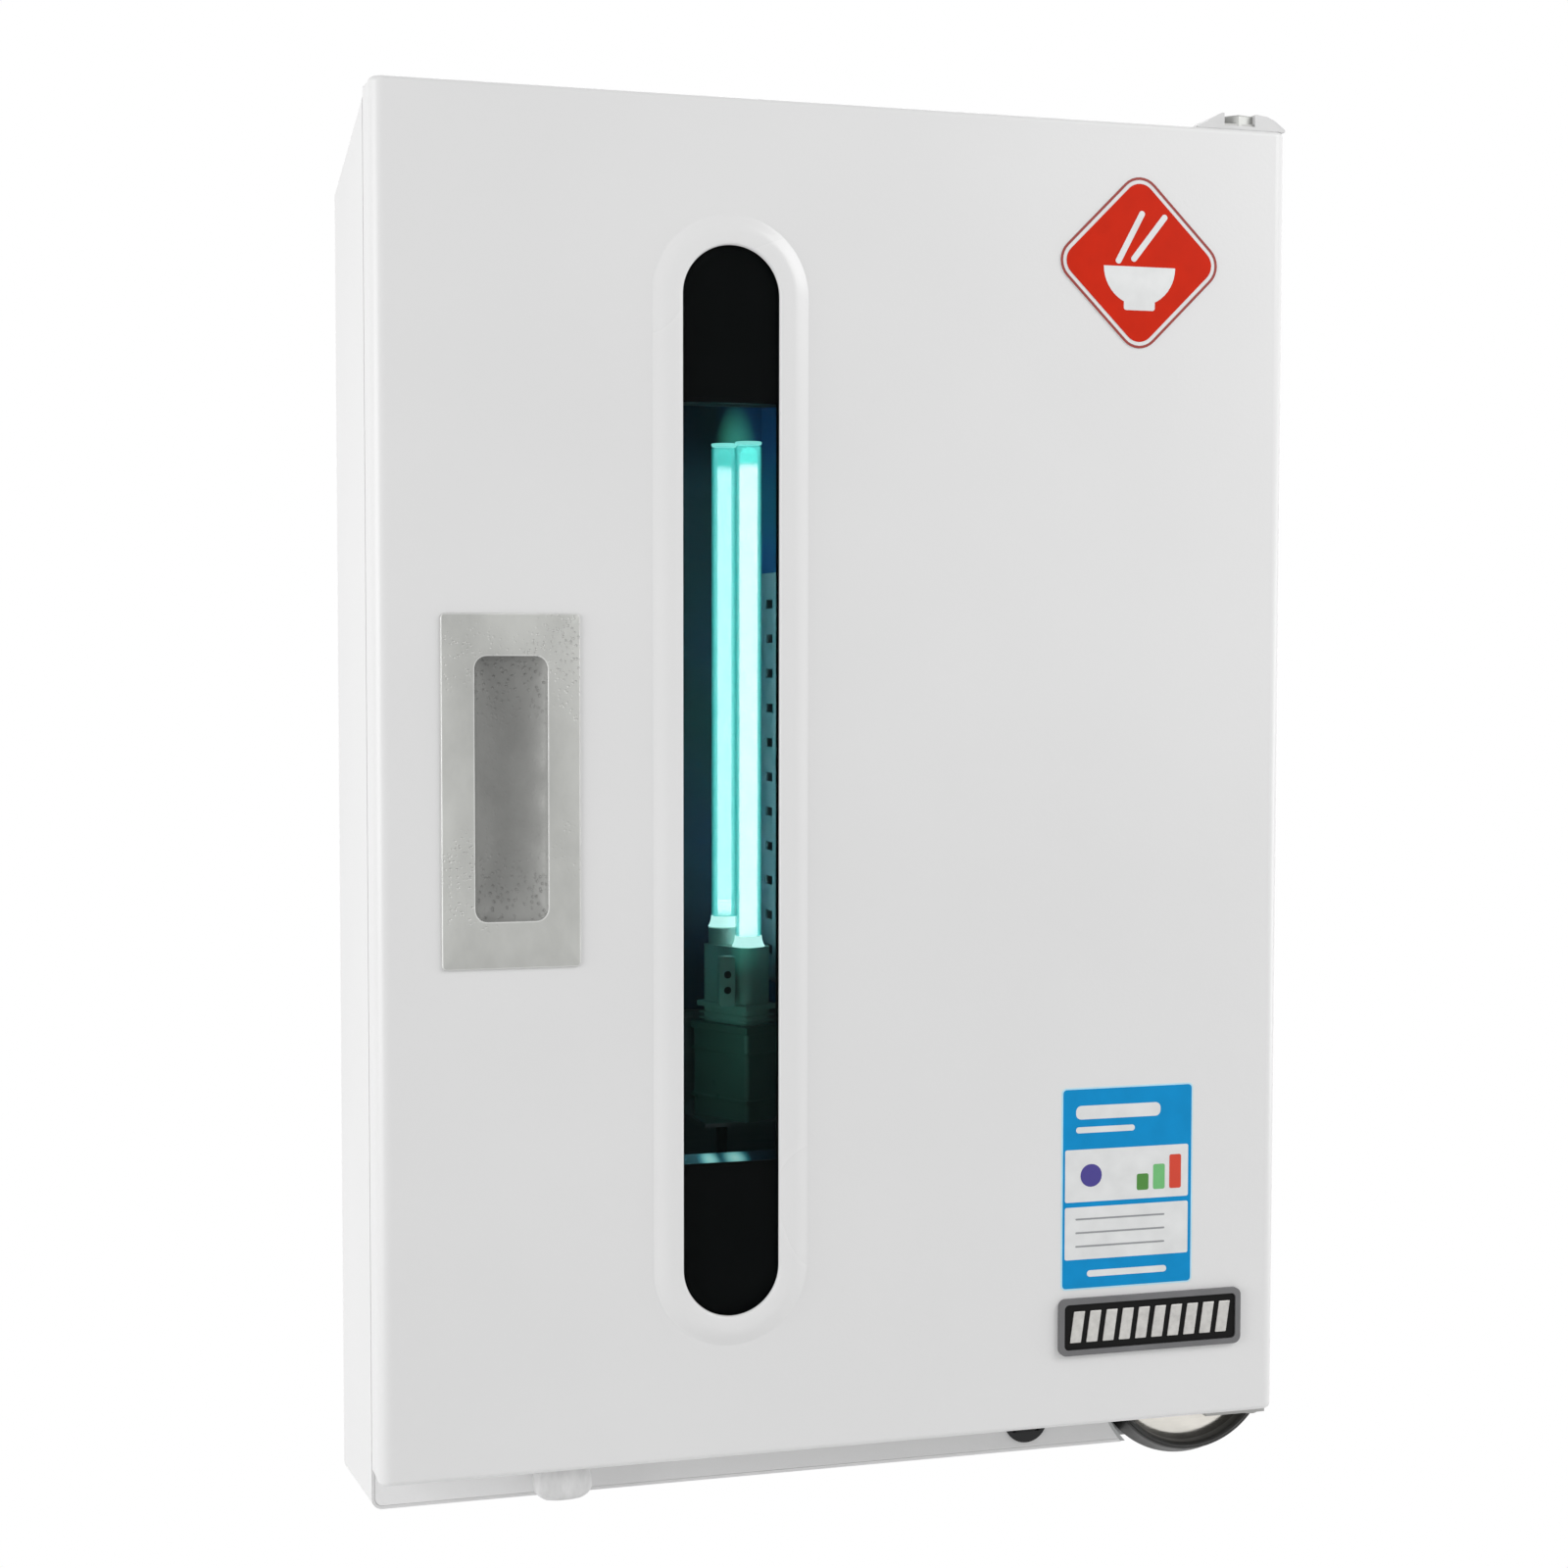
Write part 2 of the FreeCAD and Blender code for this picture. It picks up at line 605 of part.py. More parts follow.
def timer_dial():
    """A domed metal face with a hub on the timer's shaft."""
    rim = DIAL_RADIUS - DIAL_TAPER - DIAL_RING
    face = DIAL_FRONT + DIAL_FACE_RECESS + DIAL_DOME
    centre = FreeCAD.Vector(DIAL_X, face - DIAL_DOME, DIAL_Z)
    edge = FreeCAD.Vector(DIAL_X + rim, face, DIAL_Z)
    curve = (rim ** 2 + DIAL_DOME ** 2) / (2 * DIAL_DOME)
    sag = curve - math.sqrt(curve ** 2 - (rim / 2) ** 2)
    middle = FreeCAD.Vector(DIAL_X + rim / 2, face - DIAL_DOME + sag, DIAL_Z)
    back = face + DIAL_PLATE
    hub_back = DIAL_BACK
    hub = DIAL_HUB_RADIUS
    rest = [
        edge,
        FreeCAD.Vector(DIAL_X + rim, back, DIAL_Z),
        FreeCAD.Vector(DIAL_X + hub, back, DIAL_Z),
        FreeCAD.Vector(DIAL_X + hub, hub_back, DIAL_Z),
        FreeCAD.Vector(DIAL_X, hub_back, DIAL_Z),
        centre,
    ]
    dome = Part.Arc(centre, middle, edge).toShape()
    outline = Part.Wire([dome] + Part.makePolygon(rest).Edges)
    solid = Part.Face(outline).revolve(centre, FreeCAD.Vector(0, 1, 0), 360)
    shaft_hole = rod_y(DIAL_X, DIAL_Z, SHAFT_RADIUS, DIAL_BACK - DIAL_DEPTH / 2, DIAL_BACK + PAST)
    return solid.cut(shaft_hole)


def dial_grip_ring():
    """A rubber tyre with rounded shoulders around the dial's rim, wider at its back."""
    front_radius = DIAL_RADIUS - DIAL_TAPER
    inner = front_radius - DIAL_RING
    shoulder = DIAL_RING / 2
    y0 = DIAL_FRONT + shoulder
    ring = Part.makeTorus(inner + shoulder, shoulder, FreeCAD.Vector(DIAL_X, y0, DIAL_Z),
                          FreeCAD.Vector(0, 1, 0))
    band = Part.makeCone(front_radius, DIAL_RADIUS, DIAL_BACK - y0, FreeCAD.Vector(DIAL_X, y0, DIAL_Z),
                         FreeCAD.Vector(0, 1, 0))
    hole = rod_y(DIAL_X, DIAL_Z, inner, DIAL_FRONT, DIAL_BACK + PAST)
    return ring.fuse(band.cut(hole)).removeSplitter()


# ---------------------------------------------------------------- rocker switch

def rocker_drum(radius, height):
    return rod_z(ROCKER_X, ROCKER_PIVOT_Y, radius, ROCKER_Z - height / 2, ROCKER_Z + height / 2)


def switch_housing():
    flange = rod_y(ROCKER_X, ROCKER_Z, SWITCH_FLANGE_RADIUS, BODY_FRONT - SWITCH_FLANGE, BODY_FRONT)
    barrel = rod_y(ROCKER_X, ROCKER_Z, SWITCH_BARREL_RADIUS, BODY_FRONT, BODY_FRONT + SWITCH_BARREL_LENGTH)
    cavity = rocker_drum(ROCKER_RADIUS + FIT, ROCKER_HEIGHT + 2 * FIT)
    half = ROCKER_RADIUS + FIT
    mouth = box(ROCKER_X - half, ROCKER_X + half, BODY_FRONT - SWITCH_FLANGE - PAST, ROCKER_PIVOT_Y,
                ROCKER_Z - ROCKER_HEIGHT / 2 - FIT, ROCKER_Z + ROCKER_HEIGHT / 2 + FIT)
    return flange.fuse(barrel).cut([cavity, mouth]).removeSplitter()


def power_rocker():
    drum = rocker_drum(ROCKER_RADIUS, ROCKER_HEIGHT)
    face = ROCKER_PIVOT_Y - ROCKER_FACE_OFFSET
    front = box(ROCKER_X - ROCKER_RADIUS, ROCKER_X + ROCKER_RADIUS, face - ROCKER_RADIUS, face,
                ROCKER_Z - ROCKER_HEIGHT, ROCKER_Z + ROCKER_HEIGHT)
    return drum.cut(front)


# ---------------------------------------------------------------- lamp

def lamp_turned(shape):
    """Turn a lamp piece from the X direction to the lamp's own direction."""
    shape.rotate(FreeCAD.Vector(LAMP_X, LAMP_Y, 0), FreeCAD.Vector(0, 0, 1), LAMP_TURN)
    return shape


def lamp_block(length, width, z0, z1, radius):
    block = box(LAMP_X - length / 2, LAMP_X + length / 2, LAMP_Y - width / 2, LAMP_Y + width / 2, z0, z1)
    return round_edges(block, (0, 0, 1), radius)


def lamp_tube():
    """Two glass legs with closed ends, joined near the top by a short bridge."""
    z0 = LAMP_BASE_Z + LAMP_BASE_HEIGHT
    z1 = z0 + TUBE_LENGTH
    legs = []
    for side in (-1, 1):
        x = LAMP_X + side * TUBE_SPACING / 2
        leg = rod_z(x, LAMP_Y, TUBE_RADIUS, z0, z1)
        rim = [edge for edge in leg.Edges if edge.BoundBox.ZMin > z1 - FIT]
        legs.append(leg.makeFillet(TUBE_END_ROUND, rim))
    bridge = rod(LAMP_X - TUBE_SPACING / 2, LAMP_Y, z1 - TUBE_BRIDGE_DROP, TUBE_BRIDGE_RADIUS,
                 TUBE_SPACING, (1, 0, 0))
    tube = legs[0].fuse([legs[1], bridge])
    hollow = []
    for side in (-1, 1):
        x = LAMP_X + side * TUBE_SPACING / 2
        hollow.append(rod_z(x, LAMP_Y, TUBE_RADIUS - TUBE_GLASS, z0 - PAST, z1 - TUBE_RADIUS))
    return lamp_turned(tube.cut(hollow))


def lamp_base():
    z0 = LAMP_BASE_Z
    z1 = z0 + LAMP_BASE_HEIGHT
    base = lamp_block(LAMP_BASE_LENGTH, LAMP_BASE_WIDTH, z0, z1, LAMP_BASE_CORNER)
    pins = lamp_pins(0)
    return lamp_turned(base.fuse(pins))


def lamp_pins(clearance):
    pins = []
    for side in (-1, 1):
        x = LAMP_X + side * LAMP_PIN_SPACING / 2
        z0 = LAMP_BASE_Z - LAMP_PIN_LENGTH - clearance
        pins.append(rod_z(x, LAMP_Y, LAMP_PIN_RADIUS + clearance, z0, LAMP_BASE_Z + PAST))
    return pins


def lamp_holder():
    z1 = LAMP_BASE_Z - REST_GAP
    z0 = z1 - HOLDER_HEIGHT
    holder = lamp_block(HOLDER_LENGTH, HOLDER_WIDTH, z0, z1, HOLDER_CORNER)
    return lamp_turned(holder.cut(lamp_pins(FIT)))


def bracket_top():
    return LAMP_BASE_Z - REST_GAP - HOLDER_HEIGHT


def lamp_bracket():
    """A bent strip: a shelf under the lamp holder and a leg on the chamber's back wall."""
    z1 = bracket_top()
    z0 = z1 - BRACKET_SHEET
    half = BRACKET_WIDTH / 2
    front = LAMP_Y - HOLDER_LENGTH / 2
    shelf = box(LAMP_X - half, LAMP_X + half, front, CHAMBER_BACK - REST_GAP, z0, z1)
    leg = box(LAMP_X - half, LAMP_X + half, CHAMBER_BACK - REST_GAP - BRACKET_SHEET, CHAMBER_BACK - REST_GAP,
              z0, z0 + BRACKET_LEG)
    x, y = lead_place()
    lead_hole = rod_z(x, y, LEAD_RADIUS + FIT, z0 - PAST, z1 + PAST)
    return shelf.fuse(leg).cut(lead_hole).removeSplitter()


def lamp_reflector():
    """A polished trough behind the tubes, its wings bent forward."""
    back = CHAMBER_BACK - REST_GAP
    half = REFLECTOR_FLAT / 2
    reach = half + REFLECTOR_WING
    front = back - REFLECTOR_RISE
    sheet = REFLECTOR_SHEET
    z0 = bracket_top() + BRACKET_LEG + REFLECTOR_GAP
    points = [
        (LAMP_X - reach, front, z0),
        (LAMP_X - half, back, z0),
        (LAMP_X + half, back, z0),
        (LAMP_X + reach, front, z0),
        (LAMP_X + reach - sheet, front - sheet, z0),
        (LAMP_X + half - sheet / 2, back - sheet, z0),
        (LAMP_X - half + sheet / 2, back - sheet, z0),
        (LAMP_X - reach + sheet, front - sheet, z0),
    ]
    return plate(points, (0, 0, REFLECTOR_HEIGHT))


def lamp_lead():
    x, y = lead_place()
    return rod_z(x, y, LEAD_RADIUS, ballast_top() + REST_GAP, bracket_top() - REST_GAP)


def lead_grommet():
    """A rubber ring in the chamber floor, with a lip above and below the sheet."""
    x, y = lead_place()
    hole = LEAD_RADIUS + RUNNING_FIT
    neck = LEAD_RADIUS + GROMMET_LIP - RUNNING_FIT
    lip = neck + GROMMET_LIP
    z0 = LINER_BOTTOM - RUNNING_FIT
    z1 = FASCIA_TOP + RUNNING_FIT
    points = [
        (hole, z0 - GROMMET_LIP_SHEET), (lip, z0 - GROMMET_LIP_SHEET), (lip, z0), (neck, z0),
        (neck, z1), (lip, z1), (lip, z1 + GROMMET_LIP_SHEET), (hole, z1 + GROMMET_LIP_SHEET),
    ]
    return turned_z(points, x, y)


# ---------------------------------------------------------------- baskets

def basket_spans():
    inner = LINER_HALF - LINER_SHEET - BASKET_SIDE_GAP
    left = (-inner, LAMP_X - BASKET_LAMP_GAP_LEFT)
    right = (LAMP_X + BASKET_LAMP_GAP_RIGHT, inner)
    return left, right


def rail_back():
    return CHAMBER_BACK - RAIL_STANDOFF


def basket_back():
    return CHAMBER_BACK - BASKET_WALL_GAP


def hole_rows(low, high, pitch):
    count = int((high - low) / pitch)
    start = (low + high - (count - 1) * pitch) / 2
    return [start + step * pitch for step in range(count)]


def basket_holes(x0, x1, y0, y1, z0, z1):
    half = BASKET_HOLE / 2
    margin = BASKET_EDGE_BAND
    rows = hole_rows(z0 + margin, z1 - BASKET_TOP_BAND, BASKET_PITCH)
    holes = []
    for z in rows:
        for x in hole_rows(x0 + margin, x1 - margin, BASKET_PITCH):
            holes.append(box(x - half, x + half, y0 - PAST, y1 + PAST, z - half, z + half))
        for y in hole_rows(y0 + margin, y1 - margin, BASKET_PITCH):
            holes.append(box(x0 - PAST, x1 + PAST, y - half, y + half, z - half, z + half))
    return holes


def hook_places(x0, x1):
    return x0 + HOOK_INSET, x1 - HOOK_INSET


def basket_hook(x):
    """A strip folded back over the hanging rail."""
    back = basket_back()
    top = BASKET_TOP_Z
    sheet = BASKET_SHEET
    tip = rail_back() + HOOK_CLEARANCE + sheet
    x0 = x - HOOK_WIDTH / 2
    x1 = x + HOOK_WIDTH / 2
    arm = box(x0, x1, back - sheet, tip, top, top + sheet)
    drop = box(x0, x1, tip - sheet, tip, top - HOOK_DROP, top + sheet)
    riser = box(x0, x1, back - sheet, back, top - HOOK_DROP, top + sheet)
    return arm.fuse([drop, riser])


def basket(x0, x1):
    y1 = basket_back()
    y0 = y1 - BASKET_DEPTH
    z1 = BASKET_TOP_Z
    z0 = z1 - BASKET_HEIGHT
    sheet = BASKET_SHEET
    outer = box(x0, x1, y0, y1, z0, z1)
    inner = box(x0 + sheet, x1 - sheet, y0 + sheet, y1 - sheet, z0 + sheet, z1 + PAST)
    holes = basket_holes(x0, x1, y0, y1, z0, z1)
    lip = box(x0, x1, y0, y0 + BASKET_LIP, z1 - BASKET_LIP, z1)
    body = outer.cut(inner).cut(group(holes))
    hooks = [basket_hook(x) for x in hook_places(x0, x1)]
    return body.fuse(hooks + [lip]).removeSplitter()


def basket_rails():
    """Two flat bars off the back wall, one behind each basket."""
    rails = []
    back = rail_back()
    z1 = BASKET_TOP_Z - REST_GAP
    z0 = z1 - RAIL_HEIGHT
    for x0, x1 in basket_spans():
        left, right = hook_places(x0, x1)
        reach = HOOK_WIDTH / 2 + RAIL_OVERHANG
        bar = box(left - reach, right + reach, back - RAIL_THICKNESS, back, z0, z1)
        middle = (left + right) / 2
        half = RAIL_FOOT_WIDTH / 2
        foot = box(middle - half, middle + half, back, CHAMBER_BACK - REST_GAP, z0, z1)
        rails.append(bar.fuse(foot).removeSplitter())
    return group(rails)


# ---------------------------------------------------------------- control compartment

def ballast_top():
    return LINER_BOTTOM - BALLAST_DROP


def ballast():
    y1 = -BACK_PANEL_SHEET - REST_GAP
    y0 = y1 - BALLAST_DEPTH
    z1 = ballast_top()
    z0 = z1 - BALLAST_HEIGHT
    half = BALLAST_LENGTH / 2
    core = box(BALLAST_X - half, BALLAST_X + half, y0, y1, z0, z1)
    core = round_edges(core, (0, 1, 0), BALLAST_CORNER)
    ears = box(BALLAST_X - half - BALLAST_EAR, BALLAST_X + half + BALLAST_EAR, y1 - BALLAST_EAR_SHEET, y1,
               z0 + BALLAST_EAR_MARGIN, z1 - BALLAST_EAR_MARGIN)
    return core.fuse(ears).removeSplitter()


def terminal_block():
    y1 = -BACK_PANEL_SHEET - REST_GAP
    y0 = y1 - TERMINAL_DEPTH
    z1 = ballast_top()
    z0 = z1 - TERMINAL_HEIGHT
    half = TERMINAL_LENGTH / 2
    block = box(TERMINAL_X - half, TERMINAL_X + half, y0, y1, z0, z1)
    way = TERMINAL_LENGTH / TERMINAL_WAYS
    cuts = []
    for step in range(TERMINAL_WAYS):
        x = TERMINAL_X - half + (step + 0.5) * way
        middle = z1 - TERMINAL_HEIGHT / 2
        depth = y0 + TERMINAL_DEPTH / 2
        cuts.append(rod_y(x, middle, TERMINAL_SCREW_RADIUS, y0 - PAST, y0 + TERMINAL_SCREW_DEPTH))
        cuts.append(rod_z(x, depth, TERMINAL_WIRE_RADIUS, z0 - PAST, z0 + TERMINAL_WIRE_DEPTH))
    return block.cut(cuts)


def cable_gland():
    """The screwed gland where a mains lead enters through the floor."""
    seat = floor_z(GLAND_Y + GLAND_NUT_RADIUS) - REST_GAP
    under = seat - GLAND_NUT
    tip = under - GLAND_CHAMFER
    inside = seat + GLAND_TAIL
    points = [
        (GLAND_BORE, tip), (GLAND_NUT_RADIUS - GLAND_CHAMFER, tip), (GLAND_NUT_RADIUS, under),
        (GLAND_NUT_RADIUS, seat), (GLAND_RADIUS, seat), (GLAND_RADIUS, inside), (GLAND_BORE, inside),
    ]
    return turned_z(points, GLAND_X, GLAND_Y)


# ---------------------------------------------------------------- door switch and catch

def door_switch_body():
    y0 = BODY_FRONT + BODY_SHEET + REST_GAP
    half = SWITCH_WIDTH / 2
    body = box(CATCH_X - half, CATCH_X + half, y0, y0 + SWITCH_DEPTH,
               SWITCH_Z - SWITCH_HEIGHT / 2, SWITCH_Z + SWITCH_HEIGHT / 2)
    bore = rod_y(CATCH_X, SWITCH_Z, PLUNGER_RADIUS + RUNNING_FIT, y0 - PAST, y0 + SWITCH_DEPTH / 2)
    return body.cut(bore)


def door_switch_plunger():
    y0 = DOOR_BACK + SEAL_SQUASH_GAP
    y1 = BODY_FRONT + BODY_SHEET + SWITCH_DEPTH / 2 - PLUNGER_TRAVEL - FIT
    return rod_y(CATCH_X, SWITCH_Z, PLUNGER_RADIUS, y0, y1)


def catch_block(clearance, y0):
    half = CATCH_WIDTH / 2 + clearance
    reach = CATCH_HEIGHT / 2 + clearance
    y1 = BODY_FRONT + CATCH_DEPTH
    return box(CATCH_X - half, CATCH_X + half, y0, y1, CATCH_Z - reach, CATCH_Z + reach)


def magnet_catch():
    block = catch_block(0, BODY_FRONT)
    half = CATCH_GROOVE / 2
    reach = CATCH_HEIGHT / 2 - CATCH_GROOVE_MARGIN
    groove = box(CATCH_X - half, CATCH_X + half, BODY_FRONT - PAST, BODY_FRONT + CATCH_GROOVE_DEPTH,
                 CATCH_Z - reach, CATCH_Z + reach)
    return block.cut(groove)


def strike_plate():
    return rounded_block(CATCH_X, CATCH_Z, STRIKE_WIDTH, STRIKE_HEIGHT, STRIKE_CORNER,
                         DOOR_BACK, DOOR_BACK + STRIKE_SHEET)


# ---------------------------------------------------------------- hinges

def top_plate_span():
    x1 = HALF_WIDTH - TOP_PLATE_INSET
    return x1 - TOP_PLATE_WIDTH, x1


def top_hinge_bracket():
    """A strip screwed to the roof that steps up and reaches out over the door."""
    x0 = top_plate_span()[0]
    under = DOOR_TOP + HINGE_GAP
    front = DOOR_BACK - TOP_PLATE_REACH
    step = BODY_FRONT + TOP_PLATE_STEP
    tail = BODY_FRONT + TOP_PLATE_TAIL
    sheet = HINGE_PLATE
    gap = REST_GAP
    points = [
        (x0, front, under), (x0, BODY_FRONT, under), (x0, step, roof_z(step) + gap),
        (x0, tail, roof_z(tail) + gap), (x0, tail, roof_z(tail) + gap + sheet),
        (x0, step, roof_z(step) + gap + sheet), (x0, BODY_FRONT, under + sheet), (x0, front, under + sheet),
    ]
    strip = plate(points, (TOP_PLATE_WIDTH, 0, 0))
    cuts = [rod_z(PIVOT_X, PIVOT_Y, HINGE_PIN_RADIUS + RUNNING_FIT, under - PAST, under + sheet + PAST)]
    cap_x, cap_y = cap_bolt_place()
    cuts.append(rod_z(cap_x, cap_y, CAP_BOLT_SHANK + RUNNING_FIT, under - PAST, under + sheet + PAST))
    for x, y in roof_screw_places():
        cuts.append(roof_screw_core(x, y, SCREW_RADIUS + RUNNING_FIT, SCREW_LENGTH))
    return strip.cut(cuts)


def roof_screw_core(x, y, radius, length):
    """A rod through the roof, square to its slope."""
    lean = math.atan(ROOF_DROP / BODY_DEPTH)
    normal = (0, math.sin(lean), math.cos(lean))
    start = FreeCAD.Vector(x, y, roof_z(y)) - FreeCAD.Vector(*normal) * (length / 2)
    return rod(start.x, start.y, start.z, radius, length, normal)


def roof_screw(x, y):
    lean = math.atan(ROOF_DROP / BODY_DEPTH)
    normal = FreeCAD.Vector(0, math.sin(lean), math.cos(lean))
    top = FreeCAD.Vector(x, y, roof_z(y)) + normal * (HINGE_PLATE + 3 * REST_GAP)
    direction = (normal.x, normal.y, normal.z)
    head = rod(top.x, top.y, top.z, SCREW_HEAD_RADIUS, TOP_SCREW_HEAD, direction)
    tip = top - normal * SCREW_LENGTH
    shank = rod(tip.x, tip.y, tip.z, SCREW_RADIUS, SCREW_LENGTH, direction)
    return head.fuse(shank)


def cap_bolt_place():
    left = HALF_WIDTH - TOP_CAP_WIDTH + TOP_CAP_LEFT_RAMP
    right = HALF_WIDTH - TOP_CAP_RIGHT_RAMP
    return (left + right) / 2, DOOR_BACK - TOP_PLATE_REACH / 2


def cap_bolt():
    """A bolt whose hexagonal head turns a corner towards the front."""
    x, y = cap_bolt_place()
    under = DOOR_TOP + HINGE_GAP
    z0 = under + HINGE_PLATE + REST_GAP
    reach = CAP_BOLT_FLATS / math.sqrt(3)
    angles = [math.radians(60 * side - 90 - CAP_BOLT_TURN) for side in range(6)]
    corners = [(x + reach * math.cos(angle), y + reach * math.sin(angle), z0) for angle in angles]
    head = plate(corners, (0, 0, CAP_BOLT_HEAD))
    shank = rod_z(x, y, CAP_BOLT_SHANK, under, z0)
    return head.fuse(shank)


def top_hinge_cap():
    """A moulded cover with sloping shoulders over the bracket's end."""
    x0 = HALF_WIDTH - TOP_CAP_WIDTH
    z0 = DOOR_TOP + HINGE_GAP
    z1 = z0 + TOP_CAP_HEIGHT
    front = DOOR_BACK - TOP_PLATE_REACH - FIT - TOP_CAP_LIP
    points = [
        (x0, front, z0), (x0 + TOP_CAP_LEFT_RAMP, front, z1),
        (HALF_WIDTH - TOP_CAP_RIGHT_RAMP, front, z1), (HALF_WIDTH, front, z0),
    ]
    block = plate(points, (0, TOP_CAP_DEPTH, 0))
    x, y = cap_bolt_place()
    plate_top = z0 + HINGE_PLATE + RUNNING_FIT
    bay = box(x - CAP_BAY_HALF, x + CAP_BAY_HALF, front - PAST, y, plate_top, z1 + PAST)
    bay_end = rod_z(x, y, CAP_BAY_HALF, plate_top, z1 + PAST)
    plate_x0, plate_x1 = top_plate_span()
    under = box(plate_x0 - FIT, plate_x1 + FIT, front + TOP_CAP_LIP, front + TOP_CAP_DEPTH + PAST,
                z0 - PAST, plate_top)
    head = rod_z(PIVOT_X, PIVOT_Y, PIN_HEAD_RADIUS + FIT, z0, plate_top + PIN_HEAD + FIT)
    return largest(block.cut([bay, bay_end, under, head]))


def hinge_pin(z_plate, inward):
    """A headed pin through a hinge plate into the door; inward is -1 at the top, 1 at the bottom."""
    head_z = z_plate - inward * PIN_HEAD
    head = rod_z(PIVOT_X, PIVOT_Y, PIN_HEAD_RADIUS, min(head_z, z_plate), max(head_z, z_plate))
    end = z_plate + inward * (HINGE_PLATE + HINGE_PIN_REACH)
    shank = rod_z(PIVOT_X, PIVOT_Y, HINGE_PIN_RADIUS, min(end, z_plate), max(end, z_plate))
    return head.fuse(shank).removeSplitter()


def top_hinge_pin():
    return hinge_pin(DOOR_TOP + HINGE_GAP + HINGE_PLATE, -1)


def bottom_hinge_pin():
    return hinge_pin(DOOR_BOTTOM - HINGE_GAP - HINGE_PLATE, 1)


def bush(face, outward):
    """A flanged nylon bush in the door's end face; outward is 1 at the top, -1 at the bottom."""
    bore = HINGE_PIN_RADIUS + RUNNING_FIT
    wall = bore + BUSH_WALL
    low = face - outward * BUSH_LENGTH
    rim = face + outward * RUNNING_FIT
    top = rim + outward * BUSH_FLANGE
    points = [(bore, low), (wall, low), (wall, rim), (BUSH_FLANGE_RADIUS, rim),
              (BUSH_FLANGE_RADIUS, top), (bore, top)]
    return turned_z(points, PIVOT_X, PIVOT_Y)


def hinge_bushes():
    return group([bush(DOOR_TOP, 1), bush(DOOR_BOTTOM, -1)])


def bottom_hinge_plate(clearance):
    """The upright part of the lower bracket, behind the body's front flange."""
    x1 = INSIDE_HALF - FIT + clearance
    y0 = BODY_FRONT + BODY_SHEET
    z0 = DOOR_BOTTOM - HINGE_GAP - HINGE_PLATE - clearance
    wide_top = FASCIA_TOP - BOTTOM_PLATE_SHOULDER + clearance
    wide = box(x1 - BOTTOM_PLATE_WIDTH - 2 * clearance, x1, y0, LEG_BACK + clearance, z0, wide_top)
    leg = box(x1 - BOTTOM_LEG_WIDTH - 2 * clearance, x1, y0, LEG_BACK + clearance, z0,
              FASCIA_TOP + BOTTOM_LEG_TOP + clearance)
    return wide.fuse(leg).removeSplitter()


def bottom_hinge_bracket():
    upright = bottom_hinge_plate(0)
    x1 = INSIDE_HALF - FIT
    z1 = DOOR_BOTTOM - HINGE_GAP
    front = PIVOT_Y - PIN_HEAD_RADIUS - TONGUE_MARGIN
    tongue = box(x1 - BOTTOM_PLATE_WIDTH, x1, front, LEG_BACK, z1 - HINGE_PLATE, z1)
    cuts = [rod_z(PIVOT_X, PIVOT_Y, HINGE_PIN_RADIUS + RUNNING_FIT, z1 - HINGE_PLATE - PAST, z1 + PAST)]
    for x, z in hinge_leg_screw_places():
        cuts.append(rod_y(x, z, SCREW_RADIUS + RUNNING_FIT, BODY_FRONT, LEG_BACK + PAST))
    return upright.fuse(tongue).cut(cuts).removeSplitter()


def flange_screw(x, z, clearance):
    """A flat-headed screw through the front flange into the lower bracket, clear of the swinging door."""
    head = SCREW_HEAD_RADIUS + clearance
    core = SCREW_RADIUS + clearance
    tip = LEG_BACK + FLANGE_SCREW_TIP
    flange_back = BODY_FRONT + BODY_SHEET
    points = [(0, BODY_FRONT), (head, BODY_FRONT), (core, flange_back), (core, tip), (0, tip)]
    return turned(points, x, z)


def hinge_screws():
    screws = [flange_screw(x, z, 0) for x, z in hinge_leg_screw_places()]
    screws += [roof_screw(x, y) for x, y in roof_screw_places()]
    return group(screws)


# ---------------------------------------------------------------- door

def door_block(inset, y1):
    """The door's outer form, bent widely along its sides and tightly along its top and bottom."""
    half = HALF_WIDTH - inset
    front = DOOR_FRONT + inset
    block = box(-half, half, front, y1, DOOR_BOTTOM + inset, DOOR_TOP - inset)
    sides = [edge for edge in block.Edges if runs_along(edge, (0, 0, 1)) and edge.BoundBox.YMax < front + FIT]
    block = block.makeFillet(DOOR_SIDE_RADIUS - inset, sides)
    ends = [edge for edge in block.Edges if edge.BoundBox.ZLength < FIT and edge.BoundBox.YMin < y1 - FIT]
    return block.makeFillet(DOOR_END_RADIUS - inset, ends)


def bezel_hole():
    return BEZEL_SPIGOT_WALL + GLASS_OVERLAP + FIT


